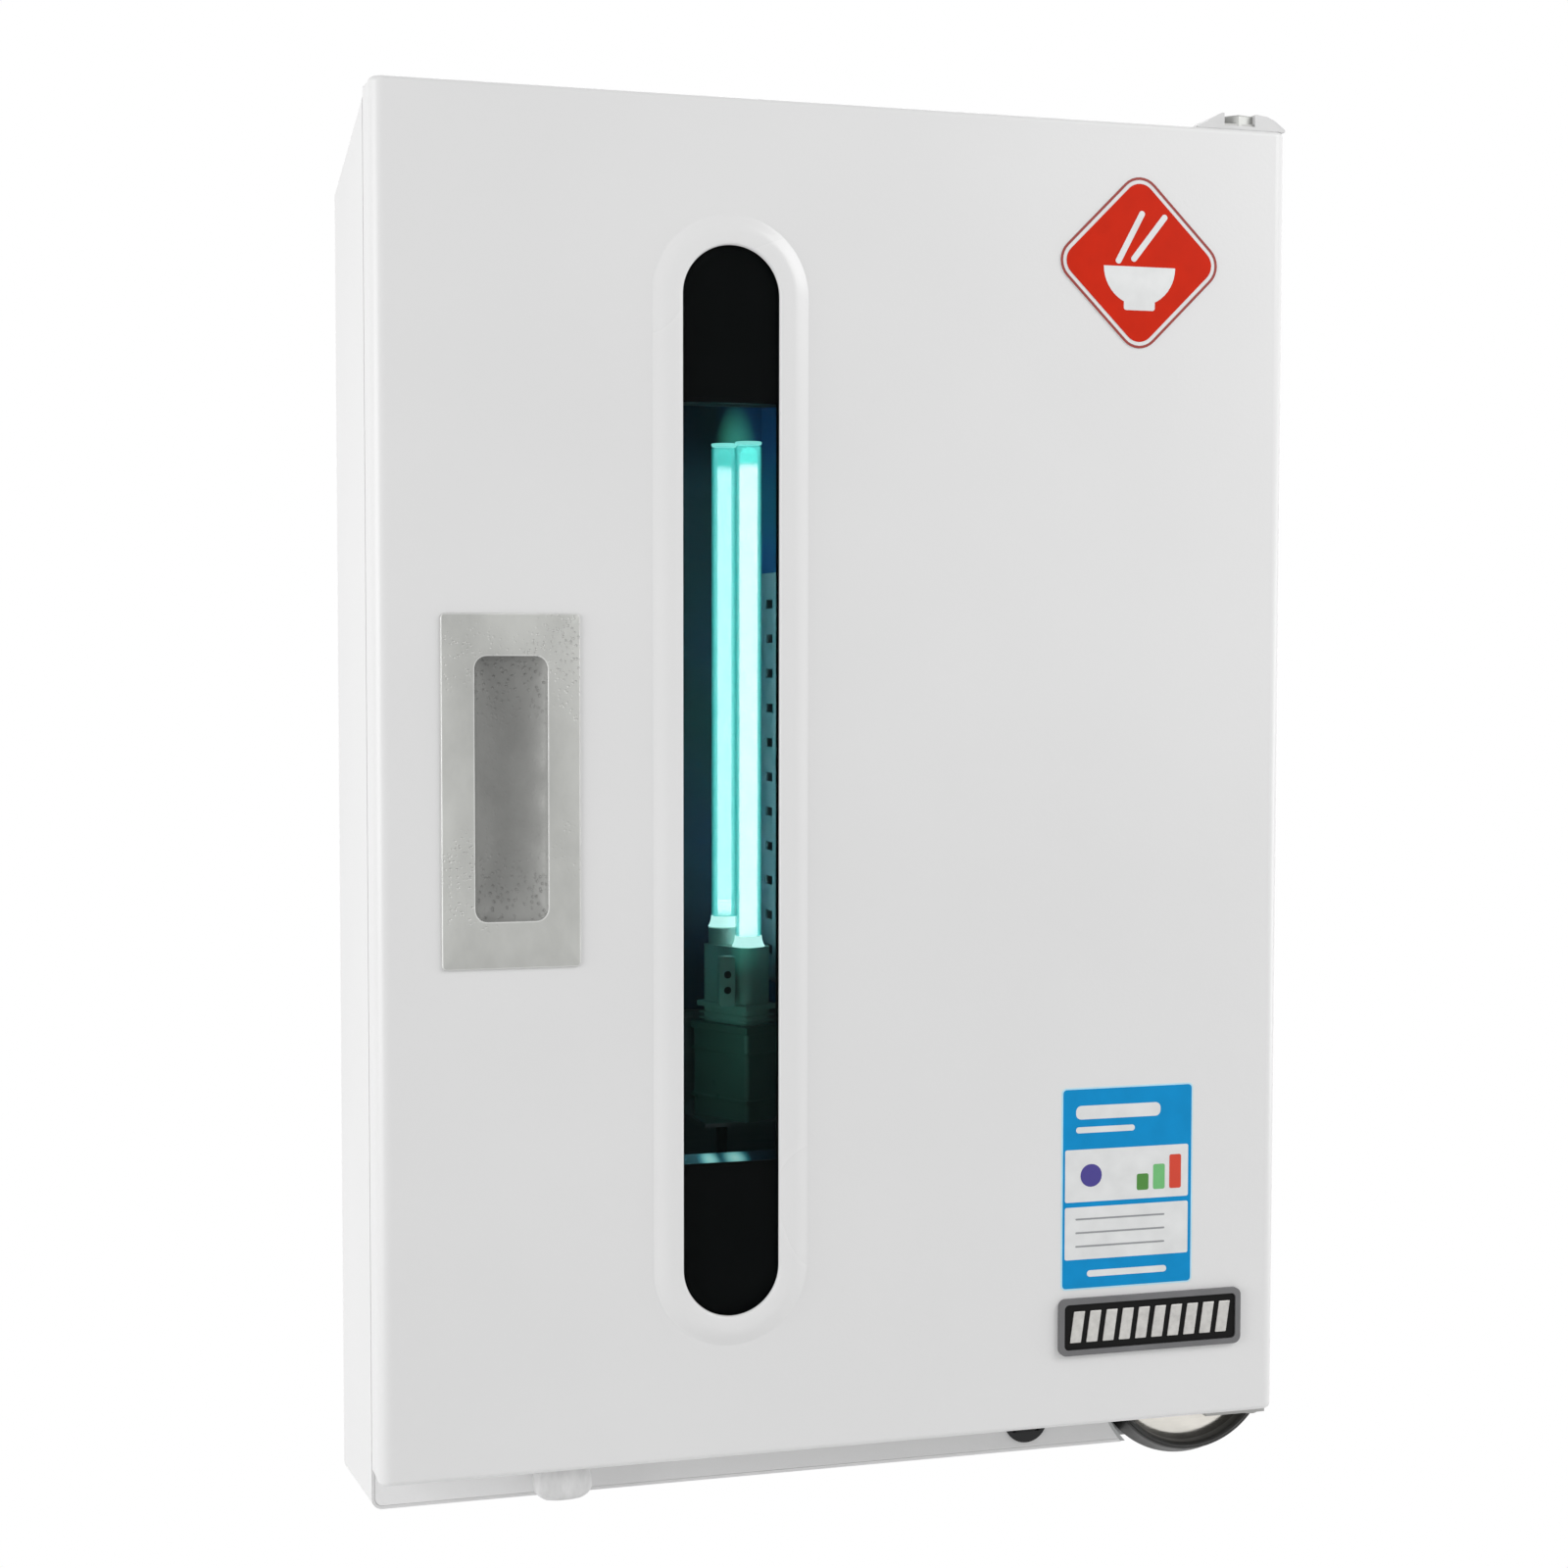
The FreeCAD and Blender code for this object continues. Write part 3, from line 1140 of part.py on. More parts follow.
def door_shell():
    skin = door_block(0, DOOR_BACK)
    hollow = door_block(DOOR_SHEET, DOOR_BACK + PAST)
    ledge_back = DOOR_BACK - INNER_PANEL_SHEET
    ledge_front = ledge_back - DOOR_SHEET
    half = HALF_WIDTH - DOOR_SHEET
    reach = DOOR_TOP - DOOR_SHEET
    ledge = rounded_block(0, 0, 2 * half, 2 * reach, DOOR_END_RADIUS - DOOR_SHEET, ledge_front, ledge_back)
    inside = box(-half + DOOR_RETURN, half - DOOR_RETURN, ledge_front - PAST, ledge_back + PAST,
                 -reach + DOOR_RETURN, reach - DOOR_RETURN)
    shell = skin.cut(hollow).fuse(ledge.cut(inside))
    grow = 2 * bezel_hole() + 2 * FIT
    y0 = DOOR_FRONT - PAST
    y1 = DOOR_FRONT + DOOR_SHEET + PAST
    cuts = [stadium(WINDOW_X, 0, WINDOW_WIDTH + grow, WINDOW_HEIGHT + grow, y0, y1)]
    edge = 2 * CUP_WALL + 2 * FIT
    cuts.append(rounded_block(HANDLE_X, HANDLE_Z, CUP_WIDTH + edge, CUP_HEIGHT + edge, CUP_CORNER, y0, y1))
    bush_hole = HINGE_PIN_RADIUS + RUNNING_FIT + BUSH_WALL + FIT
    cuts.append(rod_z(PIVOT_X, PIVOT_Y, bush_hole, DOOR_BOTTOM - PAST, DOOR_BOTTOM + BUSH_HOLE_DEPTH))
    cuts.append(rod_z(PIVOT_X, PIVOT_Y, bush_hole, DOOR_TOP - BUSH_HOLE_DEPTH, DOOR_TOP + PAST))
    stem_hole = TAB_STEM_RADIUS + FIT
    cuts.append(rod_z(TAB_X, tab_middle(), stem_hole, DOOR_BOTTOM - PAST, DOOR_BOTTOM + BUSH_HOLE_DEPTH))
    for x, z in inner_screw_places():
        cuts.append(rod_y(x, z, SCREW_RADIUS + RUNNING_FIT, ledge_front - PAST, DOOR_BACK + PAST))
    return shell.cut(cuts).removeSplitter()


def inner_screw_places():
    x = HALF_WIDTH - DOOR_SHEET - DOOR_RETURN / 2
    z = DOOR_TOP - DOOR_SHEET - DOOR_RETURN / 2
    side = [(sign * x, level * z) for sign in (-1, 1) for level in PANEL_SCREW_SIDE_LEVELS]
    ends = [(level * x, sign * z) for sign in (-1, 1) for level in PANEL_SCREW_END_LEVELS]
    return side + ends


def door_inner_panel():
    half = HALF_WIDTH - DOOR_SHEET - FIT
    reach = DOOR_TOP - DOOR_SHEET - FIT
    y0 = DOOR_BACK - INNER_PANEL_SHEET
    panel = rounded_block(0, 0, 2 * half, 2 * reach, DOOR_END_RADIUS - DOOR_SHEET, y0, DOOR_BACK)
    cuts = [spacer_block(2 * FIT, y0 - PAST, DOOR_BACK + PAST)]
    for x, z in inner_screw_places():
        cuts.append(rod_y(x, z, SCREW_RADIUS + RUNNING_FIT, y0 - PAST, DOOR_BACK + PAST))
    return panel.cut(cuts)


def inner_panel_screws():
    screws = []
    for x, z in inner_screw_places():
        head = rod_y(x, z, SCREW_HEAD_RADIUS, DOOR_BACK, DOOR_BACK + SCREW_HEAD)
        shank = rod_y(x, z, SCREW_RADIUS, DOOR_BACK - SCREW_LENGTH, DOOR_BACK + SCREW_HEAD)
        screws.append(head.fuse(shank).removeSplitter())
    return group(screws)


def window_bezel():
    """A moulded ring around the window: a rounded band outside, a lip over the glass and a spigot."""
    grow = 2 * BEZEL_BAND
    front = DOOR_FRONT - BEZEL_PROUD
    band = stadium(WINDOW_X, 0, WINDOW_WIDTH + grow, WINDOW_HEIGHT + grow, front, DOOR_FRONT)
    rim = [edge for edge in band.Edges if edge.BoundBox.YMax < front + FIT]
    band = band.makeFillet(BEZEL_EDGE_RADIUS, rim)
    spigot_grow = 2 * bezel_hole()
    spigot_end = glass_back() + MASK_THICKNESS + 3 * FIT
    spigot = stadium(WINDOW_X, 0, WINDOW_WIDTH + spigot_grow, WINDOW_HEIGHT + spigot_grow,
                     DOOR_FRONT, spigot_end)
    glass_grow = 2 * GLASS_OVERLAP + 2 * FIT
    seat = stadium(WINDOW_X, 0, WINDOW_WIDTH + glass_grow, WINDOW_HEIGHT + glass_grow,
                   front + BEZEL_LIP, spigot_end + PAST)
    sight = stadium(WINDOW_X, 0, WINDOW_WIDTH, WINDOW_HEIGHT, front - PAST, front + BEZEL_LIP + PAST)
    return band.fuse(spigot).cut([seat, sight]).removeSplitter()


def glass_front():
    return DOOR_FRONT - BEZEL_PROUD + BEZEL_LIP + RUNNING_FIT


def glass_back():
    return glass_front() + GLASS_THICKNESS


def window_glass():
    grow = 2 * GLASS_OVERLAP
    return stadium(WINDOW_X, 0, WINDOW_WIDTH + grow, WINDOW_HEIGHT + grow, glass_front(), glass_back())


def window_mask():
    """A black sheet behind the glass that leaves only the middle stretch clear."""
    grow = 2 * GLASS_OVERLAP
    y0 = glass_back() + FIT
    y1 = y0 + MASK_THICKNESS
    sheet = stadium(WINDOW_X, 0, WINDOW_WIDTH + grow, WINDOW_HEIGHT + grow, y0, y1)
    half = WINDOW_WIDTH / 2
    reach = MASK_OPENING_HEIGHT / 2
    return sheet.cut(box(WINDOW_X - half, WINDOW_X + half, y0 - PAST, y1 + PAST, -reach, reach))


def spacer_block(grow, y0, y1):
    half = SPACER_WIDTH / 2 + SPACER_WALL + grow / 2
    reach = SPACER_HEIGHT / 2 + SPACER_WALL + grow / 2
    return box(WINDOW_X - half, WINDOW_X + half, y0, y1, -reach, reach)


def window_spacer():
    """A black tunnel from the window mask to the door's inner panel."""
    y0 = glass_back() + MASK_THICKNESS + 5 * FIT
    y1 = DOOR_BACK
    outer = spacer_block(0, y0, y1)
    inner = spacer_block(-2 * SPACER_WALL, y0 - PAST, y1 + PAST)
    return outer.cut(inner)


def recessed_handle():
    """A pressed plate with a finger cup."""
    front = DOOR_FRONT - HANDLE_PLATE
    base = rounded_block(HANDLE_X, HANDLE_Z, HANDLE_WIDTH, HANDLE_HEIGHT, HANDLE_CORNER, front, DOOR_FRONT)
    wall = 2 * CUP_WALL
    end = front + CUP_DEPTH
    cup = rounded_block(HANDLE_X, HANDLE_Z, CUP_WIDTH + wall, CUP_HEIGHT + wall, CUP_CORNER + CUP_WALL,
                        front, end)
    hollow = rounded_block(HANDLE_X, HANDLE_Z, CUP_WIDTH, CUP_HEIGHT, CUP_CORNER,
                           front - PAST, end - CUP_WALL)
    return base.fuse(cup).cut(hollow).removeSplitter()


def door_seal():
    """A soft strip around the chamber opening, on the door's inner panel."""
    x1 = OPENING_HALF + SEAL_OVERLAP
    z1 = OPENING_TOP + SEAL_OVERLAP
    z0 = FASCIA_TOP - SEAL_BOTTOM_OVERLAP
    y0 = DOOR_BACK
    y1 = BODY_FRONT - SEAL_SQUASH_GAP
    middle = (z0 + z1) / 2
    outer = rounded_block(0, middle, 2 * x1, z1 - z0, SEAL_CORNER, y0, y1)
    width = SEAL_WIDTH
    inner = box(-x1 + width, x1 - width, y0 - PAST, y1 + PAST, z0 + width, z1 - width)
    return outer.cut(inner)


def badge():
    """A square plate stood on its corner, with round corners."""
    side = (BADGE_SIZE / 2 + BADGE_CORNER * (math.sqrt(2) - 1)) * math.sqrt(2)
    plain = rounded_block(BADGE_X, BADGE_Z, side, side, BADGE_CORNER,
                          DOOR_FRONT - BADGE_THICKNESS, DOOR_FRONT)
    plain.rotate(FreeCAD.Vector(BADGE_X, 0, BADGE_Z), FreeCAD.Vector(0, 1, 0), BADGE_TURN)
    return plain


def info_label():
    return rounded_block(LABEL_X, LABEL_Z, LABEL_WIDTH, LABEL_HEIGHT, LABEL_CORNER,
                         DOOR_FRONT - LABEL_THICKNESS, DOOR_FRONT)


def nameplate_frame():
    front = DOOR_FRONT - PLATE_FRAME_DEPTH
    outer = rounded_block(PLATE_X, PLATE_Z, PLATE_WIDTH, PLATE_HEIGHT, PLATE_CORNER, front, DOOR_FRONT)
    band = 2 * PLATE_FRAME
    inner = rounded_block(PLATE_X, PLATE_Z, PLATE_WIDTH - band, PLATE_HEIGHT - band,
                          PLATE_CORNER - PLATE_FRAME / 2, front - PAST, DOOR_FRONT + PAST)
    return outer.cut(inner)


def nameplate_field():
    band = 2 * PLATE_FRAME + 2 * FIT
    return rounded_block(PLATE_X, PLATE_Z, PLATE_WIDTH - band, PLATE_HEIGHT - band,
                         PLATE_CORNER - PLATE_FRAME / 2, DOOR_FRONT - PLATE_FIELD_DEPTH, DOOR_FRONT)


def tab_middle():
    return DOOR_FRONT + TAB_INSET + TAB_DEPTH / 2


def door_pull_tab():
    """A silicone tab with a round lower end, held by a beaded stem in the door's lower edge."""
    y0 = DOOR_FRONT + TAB_INSET
    half = TAB_WIDTH / 2
    top = DOOR_BOTTOM - REST_GAP
    bottom = top - TAB_DROP
    block = box(TAB_X - half, TAB_X + half, y0, y0 + TAB_DEPTH, bottom, top)
    lower = [edge for edge in block.Edges if runs_along(edge, (0, 1, 0)) and edge.BoundBox.ZMax < bottom + FIT]
    block = block.makeFillet(TAB_CORNER, lower)
    middle = tab_middle()
    stem = rod_z(TAB_X, middle, TAB_STEM_RADIUS, top - PAST, top + TAB_STEM_LENGTH)
    bead_z = DOOR_BOTTOM + DOOR_SHEET + REST_GAP
    bead = rod_z(TAB_X, middle, TAB_BEAD_RADIUS, bead_z, bead_z + TAB_BEAD_LENGTH)
    return block.fuse([stem, bead]).removeSplitter()


def main():
    os.makedirs("parts", exist_ok=True)
    pieces = {
        "body_shell": body_shell(),
        "back_panel": back_panel(),
        "back_panel_screws": back_panel_screws(),
        "front_fascia": front_fascia(),
        "chamber_liner": chamber_liner(),
        "dial_well": dial_well(),
        "timer_body": timer_body(),
        "timer_shaft": timer_shaft(),
        "timer_dial": timer_dial(),
        "dial_grip_ring": dial_grip_ring(),
        "switch_housing": switch_housing(),
        "power_rocker": power_rocker(),
        "lamp_tube": lamp_tube(),
        "lamp_base": lamp_base(),
        "lamp_holder": lamp_holder(),
        "lamp_bracket": lamp_bracket(),
        "lamp_reflector": lamp_reflector(),
        "lamp_lead": lamp_lead(),
        "lead_grommet": lead_grommet(),
        "basket_rails": basket_rails(),
        "ballast": ballast(),
        "terminal_block": terminal_block(),
        "cable_gland": cable_gland(),
        "door_switch_body": door_switch_body(),
        "door_switch_plunger": door_switch_plunger(),
        "magnet_catch": magnet_catch(),
        "strike_plate": strike_plate(),
        "top_hinge_bracket": top_hinge_bracket(),
        "top_hinge_cap": top_hinge_cap(),
        "top_hinge_pin": top_hinge_pin(),
        "hinge_cap_screw": cap_bolt(),
        "bottom_hinge_bracket": bottom_hinge_bracket(),
        "bottom_hinge_pin": bottom_hinge_pin(),
        "hinge_screws": hinge_screws(),
        "hinge_bushes": hinge_bushes(),
        "door_shell": door_shell(),
        "door_inner_panel": door_inner_panel(),
        "inner_panel_screws": inner_panel_screws(),
        "window_bezel": window_bezel(),
        "window_glass": window_glass(),
        "window_mask": window_mask(),
        "window_spacer": window_spacer(),
        "recessed_handle": recessed_handle(),
        "door_seal": door_seal(),
        "door_pull_tab": door_pull_tab(),
        "badge": badge(),
        "info_label": info_label(),
        "nameplate_frame": nameplate_frame(),
        "nameplate_field": nameplate_field(),
    }
    left, right = basket_spans()
    pieces["basket_left"] = basket(*left)
    pieces["basket_right"] = basket(*right)
    for name, shape in pieces.items():
        save(name, shape)


main()
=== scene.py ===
import json
import math

import bmesh
import bpy
from mathutils import Matrix, Vector


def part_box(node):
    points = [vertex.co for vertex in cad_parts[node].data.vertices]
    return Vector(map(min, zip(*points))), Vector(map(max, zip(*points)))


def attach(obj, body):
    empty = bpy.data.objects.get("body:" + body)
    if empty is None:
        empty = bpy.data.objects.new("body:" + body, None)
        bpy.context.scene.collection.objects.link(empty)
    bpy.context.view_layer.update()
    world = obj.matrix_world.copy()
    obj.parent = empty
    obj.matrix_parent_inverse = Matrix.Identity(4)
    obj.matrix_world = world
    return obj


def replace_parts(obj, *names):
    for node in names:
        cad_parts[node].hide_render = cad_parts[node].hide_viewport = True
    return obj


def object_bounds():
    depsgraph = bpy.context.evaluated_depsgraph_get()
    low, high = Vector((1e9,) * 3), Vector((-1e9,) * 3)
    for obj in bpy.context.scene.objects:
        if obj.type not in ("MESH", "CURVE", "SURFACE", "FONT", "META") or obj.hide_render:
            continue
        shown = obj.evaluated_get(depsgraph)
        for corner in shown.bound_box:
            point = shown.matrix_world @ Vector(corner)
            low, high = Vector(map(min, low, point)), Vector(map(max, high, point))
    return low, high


# The finish of a wall-hung chopstick cabinet, around its CAD frame. Lengths are in metres.
# +X points right seen from the front, +Y into the wall and +Z up.

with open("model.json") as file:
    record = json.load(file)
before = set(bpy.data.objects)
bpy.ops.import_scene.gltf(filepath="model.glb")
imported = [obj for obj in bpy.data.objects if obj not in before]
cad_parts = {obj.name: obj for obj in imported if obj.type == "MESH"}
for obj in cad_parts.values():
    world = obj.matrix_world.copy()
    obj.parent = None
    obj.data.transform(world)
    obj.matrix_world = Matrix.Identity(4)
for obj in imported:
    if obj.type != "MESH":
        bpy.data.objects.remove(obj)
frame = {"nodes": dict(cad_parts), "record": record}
CAD_LOW, CAD_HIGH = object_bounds()
MM = 0.001

# ---- camera ----
CAMERA_PLACE = Vector((-0.2989, -1.0406, 0.0492))
CAMERA_YAW = math.radians(16.32)
CAMERA_PITCH = math.radians(2.88)
CAMERA_ROLL = math.radians(0.06)
CAMERA_LENS_MM = 59.2

# ---- floor and light ----
FLOOR_DROP = 0.36
FLOOR_SIZE = 60.0
FLOOR_COLOUR = 0.80
FLOOR_LIFT = 0.20
FLOOR_NEAR = 0.40
FLOOR_FAR = 0.85
SKY_LIGHT = 0.50
# Area lights: name, place, the point it faces, width and power.
AREA_LIGHTS = [
    ("side_left", (-1.40, -0.50, 0.10), (-0.1, -0.05, 0), 0.9, 10.5),
    ("front_right", (0.95, -0.88, 0.72), (0.08, -0.1, 0), 0.7, 7.5),
    ("edge_right", (1.30, -0.35, -0.10), (0.18, -0.1, -0.05), 0.5, 3.2),
    ("back_rim", (0.8, 2.2, 1.6), (0, 0, 0), 1.6, 12.0),
]

# ---- trim on the door ----
BADGE_LINE = 1.1 * MM
BADGE_GAP = 1.5 * MM
BADGE_CORNER = 9 * MM
BOWL_RADIUS = 15 * MM
PRINT_STEP = 0.06 * MM
RIB_COUNT = 10
RIB_SLANT = 0.14
RIB_HEIGHT = 12.5 * MM

# ---- lamp ----
LAMP_TURN = 118
LAMP_SPACING = 14 * MM
REAR_BOSS = 7 * MM
REAR_GAS = 2.7 * MM
FRONT_GAS = 3.5 * MM
GAS_STRENGTH = 8.0
HALO_STRENGTH = 3.0
COLLAR_STRENGTH = 2.4
QUARTZ_STRENGTH = 0.9
GLASS_RADIUS = 5.3 * MM
COLLAR_SPREAD = 1.3 * MM
COLLAR_HEIGHT = 4.3 * MM
SPILL_POWER = 0.010
SPILL_PLACE = (-0.052, -0.078, -0.105)
SPILL_COLOUR = (0.30, 1.0, 0.82)
SPILL_RADIUS = 12 * MM
# The plume is a painted glow on the reflector over the lamp.
PLUME_HALF_WIDTH = 9 * MM
PLUME_HEIGHT = 19 * MM

# ---- polished sill under the window, with a painted reflection of the lamp ----
SILL_DEPTH = 6.5 * MM
SILL_RISE = 2.5 * MM
SILL_EDGE_Z = -142.9 * MM
SILL_WALL = 1.5 * MM
SILL_PAINTED_REFLECTION = 1.4

# ---- cover and bolt of the upper hinge ----
CAP_LIP_DROP = 0.9 * MM
CAP_FRONT_DEPTH = 18.5 * MM
BAY_HALF = 6.6 * MM
BOLT_REACH = 9.2 * MM
BOLT_TURN = 16

# ---- lip that closes the gap around the door ----
LIP_FROM_EDGE = 0.25 * MM
LIP_WIDTH = 3.3 * MM
HINGE_CLEAR = 40 * MM
DIAL_CLEAR = 75 * MM

# ---- finger cup of the handle ----
CUP_WIDTH = 27.0 * MM
CUP_HEIGHT = 97.0 * MM
CUP_CORNER = 4.6 * MM
CUP_DEPTH = 6.0 * MM
CUP_END = 22.0 * MM
CUP_RINGS = 20

# ---- silicone tab ----
TAB_LEVELS = 18
TAB_STEPS = 40
TAB_SQUARENESS = 0.45
TAB_ROUND_END = 0.42
TAB_RIBS = 9
TAB_RIB_DEPTH = 0.03

# ---- dial ----
DIAL_RING = 4.8 * MM
DIAL_TAPER = 2.2 * MM
TYRE_FRONT = 3.4 * MM
TYRE_SHY = 0.4 * MM
DIAL_DOME = 4 * MM
DIAL_HUB = 7 * MM

# ---- perforated baskets ----
BASKET_SHEET = 0.8 * MM
SLOT_LENGTH = 10.0 * MM
SLOT_HEIGHT = 3.6 * MM
SLOT_PITCH_X = 16.0 * MM
SLOT_PITCH_Z = 14.0 * MM
END_SLOT_SHIFT = 7.0 * MM

# ---- directions ----
EAST = Vector((1, 0, 0))
NORTH = Vector((0, 1, 0))
UP = Vector((0, 0, 1))

PAINT = {}


def middle_of(node):
    low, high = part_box(node)
    return (low + high) / 2


# ================================================================ shader nodes

def add_node(tree, kind, inputs, **settings):
    """A shader node with its settings; each input gets a value, or the socket that feeds it."""
    node = tree.nodes.new("ShaderNode" + kind)
    for name, value in settings.items():
        setattr(node, name, value)
    for name, value in inputs.items():
        if isinstance(value, bpy.types.NodeSocket):
            tree.links.new(value, node.inputs[name])
        else:
            node.inputs[name].default_value = value
    return node


def own_place(tree):
    """The surface point in metres, in the object's own frame."""
    return add_node(tree, "TexCoord", {}).outputs["Object"]


def stretched_place(tree, stretch=(1.0, 1.0, 1.0)):
    """The surface point, stretched along the object's axes."""
    return add_node(tree, "Mapping", {"Vector": own_place(tree), "Scale": stretch}).outputs["Vector"]


def noise(tree, scale, detail=3.0, stretch=(1.0, 1.0, 1.0), roughness=0.5):
    place = stretched_place(tree, stretch)
    inputs = {"Vector": place, "Scale": scale, "Detail": detail, "Roughness": roughness}
    return add_node(tree, "TexNoise", inputs).outputs["Fac"]


def cells(tree, scale, output):
    return add_node(tree, "TexVoronoi", {"Vector": stretched_place(tree), "Scale": scale}).outputs[output]


def spread(tree, source, low, high, from_low=0.3, from_high=0.7):
    """The source's middle range mapped to low and high."""
    inputs = {"Value": source, "From Min": from_low, "From Max": from_high, "To Min": low, "To Max": high}
    return add_node(tree, "MapRange", inputs).outputs["Result"]


def ramp(tree, source, stops):
    """Colours, or grey levels, at places from 0 to 1 along the source."""
    node = add_node(tree, "ValToRGB", {"Fac": source})
    band = node.color_ramp
    while len(band.elements) < len(stops):
        band.elements.new(1.0)
    for element, (place, colour) in zip(band.elements, stops):
        element.position = place
        element.color = (*colour, 1.0) if isinstance(colour, tuple) else (colour, colour, colour, 1.0)
    return node.outputs["Color"]


def combined(tree, kind, operation, first, second):
    """Two numbers (kind Math) or two colours (kind VectorMath) in one operation."""
    return add_node(tree, kind, {0: first, 1: second}, operation=operation).outputs[0]


def length_of(tree, place):
    return add_node(tree, "VectorMath", {0: place}, operation="LENGTH").outputs["Value"]


def distance_from(tree, centre, reach):
    """0 at the centre and 1 on the ellipsoid of the given reach around it."""
    scale = [1 / part for part in reach]
    shift = [-part / far for part, far in zip(centre, reach)]
    place = add_node(tree, "Mapping", {"Vector": own_place(tree), "Scale": scale, "Location": shift})
    return length_of(tree, place.outputs["Vector"])


def axis_place(tree, axis):
    """The surface point's place along one of the object's axes."""
    return add_node(tree, "SeparateXYZ", {"Vector": stretched_place(tree)}).outputs[axis]


def along_axis(tree, axis, low, high):
    """0 to 1 between two places along one of the object's axes."""
    return spread(tree, axis_place(tree, axis), 0.0, 1.0, low, high)


def pitted(tree, where, cell_scale, near, far):
    """Height 1, falling to 0 in small pits, where the first source is 1."""
    pits = spread(tree, cells(tree, cell_scale, "Distance"), 1.0, 0.0, near, far)
    return spread(tree, combined(tree, "Math", "MULTIPLY", where, pits), 1.0, 0.0, 0.0, 1.0)


# ================================================================ materials

def shader_of(material):
    return material.node_tree.nodes["Principled BSDF"]


def new_material(name, colour, roughness, metallic=0.0, **constants):
    """A Principled material with plain values, to which the texture helpers add detail."""
    material = bpy.data.materials.new(name)
    material.use_nodes = True
    shader = shader_of(material)
    shader.inputs["Base Color"].default_value = (*colour, 1.0)
    shader.inputs["Roughness"].default_value = roughness
    shader.inputs["Metallic"].default_value = metallic
    for socket, value in constants.items():
        shader.inputs[socket.replace("_", " ")].default_value = value
    return material, material.node_tree


def tinted(colour, factor):
    return tuple(min(1.0, part * factor) for part in colour)


def feed(material, socket, source):
    material.node_tree.links.new(source, shader_of(material).inputs[socket])


def vary_colour(material, colour, source, low, high):
    """The base colour between low and high times the colour, as the source says."""
    stops = [(0.3, tinted(colour, low)), (0.7, tinted(colour, high))]
    feed(material, "Base Color", ramp(material.node_tree, source, stops))


def vary_roughness(material, source, low, high):
    feed(material, "Roughness", spread(material.node_tree, source, low, high))


def emit(material, source, strength=1.0):
    feed(material, "Emission Color", source)
    shader_of(material).inputs["Emission Strength"].default_value = strength


def add_bump(material, source, height, strength=1.0):
    """Relief of about the given height in metres, over any relief that is there."""
    tree = material.node_tree
    node = add_node(tree, "Bump", {"Strength": strength, "Distance": height, "Height": source})
    earlier = shader_of(material).inputs["Normal"]
    if earlier.is_linked:
        tree.links.new(earlier.links[0].from_socket, node.inputs["Normal"])
    tree.links.new(node.outputs["Normal"], earlier)


def powder_coat(name, colour, roughness):
    """Sprayed and baked enamel with a fine orange peel."""
    material, tree = new_material(name, colour, roughness)
    vary_colour(material, colour, noise(tree, 9.0, 2.0), 0.985, 1.012)
    vary_roughness(material, noise(tree, 6.0, 1.0), roughness - 0.03, roughness + 0.03)
    add_bump(material, noise(tree, 700.0, 2.0), 0.00006, 0.5)
    add_bump(material, noise(tree, 5.0, 0.0), 0.0006, 0.2)
    return material


def fascia_painted_shade():
    """White enamel with painted light at the cabinet's left end, falling to painted shade towards the right
    under the door.
    """
    material = powder_coat("fascia_coat_painted_shade", (0.72, 0.72, 0.72), 0.36)
    low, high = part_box("front_fascia")
    across = along_axis(material.node_tree, "X", low.x, high.x)
    # Painted light and shade: bright at the left end, darker towards the right where the door overhangs.
    shades = [(0.0, 0.95), (0.12, 0.93), (0.28, 0.80), (0.55, 0.75), (1.0, 0.72)]
    feed(material, "Base Color", ramp(material.node_tree, across, shades))
    return material


def brushed_metal(name, colour, roughness, stretch, metallic=1.0):
    """Sheet metal with fine grain lines; the stretch is small along the grain."""
    material, tree = new_material(name, colour, roughness, metallic)
    grain = noise(tree, 1.0, 6.0, stretch, 0.65)
    vary_colour(material, colour, grain, 0.86, 1.10)
    vary_roughness(material, grain, roughness - 0.08, roughness + 0.10)
    add_bump(material, grain, 0.00002, 0.6)
    return material


def galvanised():
    """Zinc-coated sheet with its crystal flowers."""
    material, tree = new_material("galvanised_sheet", (0.50, 0.52, 0.54), 0.45, 0.85)
    flowers = add_node(tree, "SeparateColor", {"Color": cells(tree, 75.0, "Color")})
    vary_colour(material, (0.52, 0.54, 0.56), flowers.outputs["Red"], 0.82, 1.12)
    vary_roughness(material, flowers.outputs["Green"], 0.36, 0.58)
    add_bump(material, noise(tree, 60.0, 4.0, (1.0, 1.0, 0.2)), 0.00005, 0.3)
    return material


def cast_handle(name, colour, roughness):
    """A satin grey casting, mottled, with small pits that gather in patches."""
    material, tree = new_material(name, colour, roughness, 0.35)
    vary_colour(material, colour, noise(tree, 38.0, 6.0, (1.0, 1.0, 0.6), 0.62), 0.86, 1.10)
    vary_roughness(material, noise(tree, 120.0, 4.0), roughness - 0.08, roughness + 0.12)
    patches = spread(tree, noise(tree, 30.0, 3.0), 0.0, 1.0, 0.50, 0.66)
    add_bump(material, pitted(tree, patches, 620.0, 0.12, 0.34), 0.00035, 0.9)
    add_bump(material, noise(tree, 260.0, 4.0), 0.00010, 0.5)
    return material


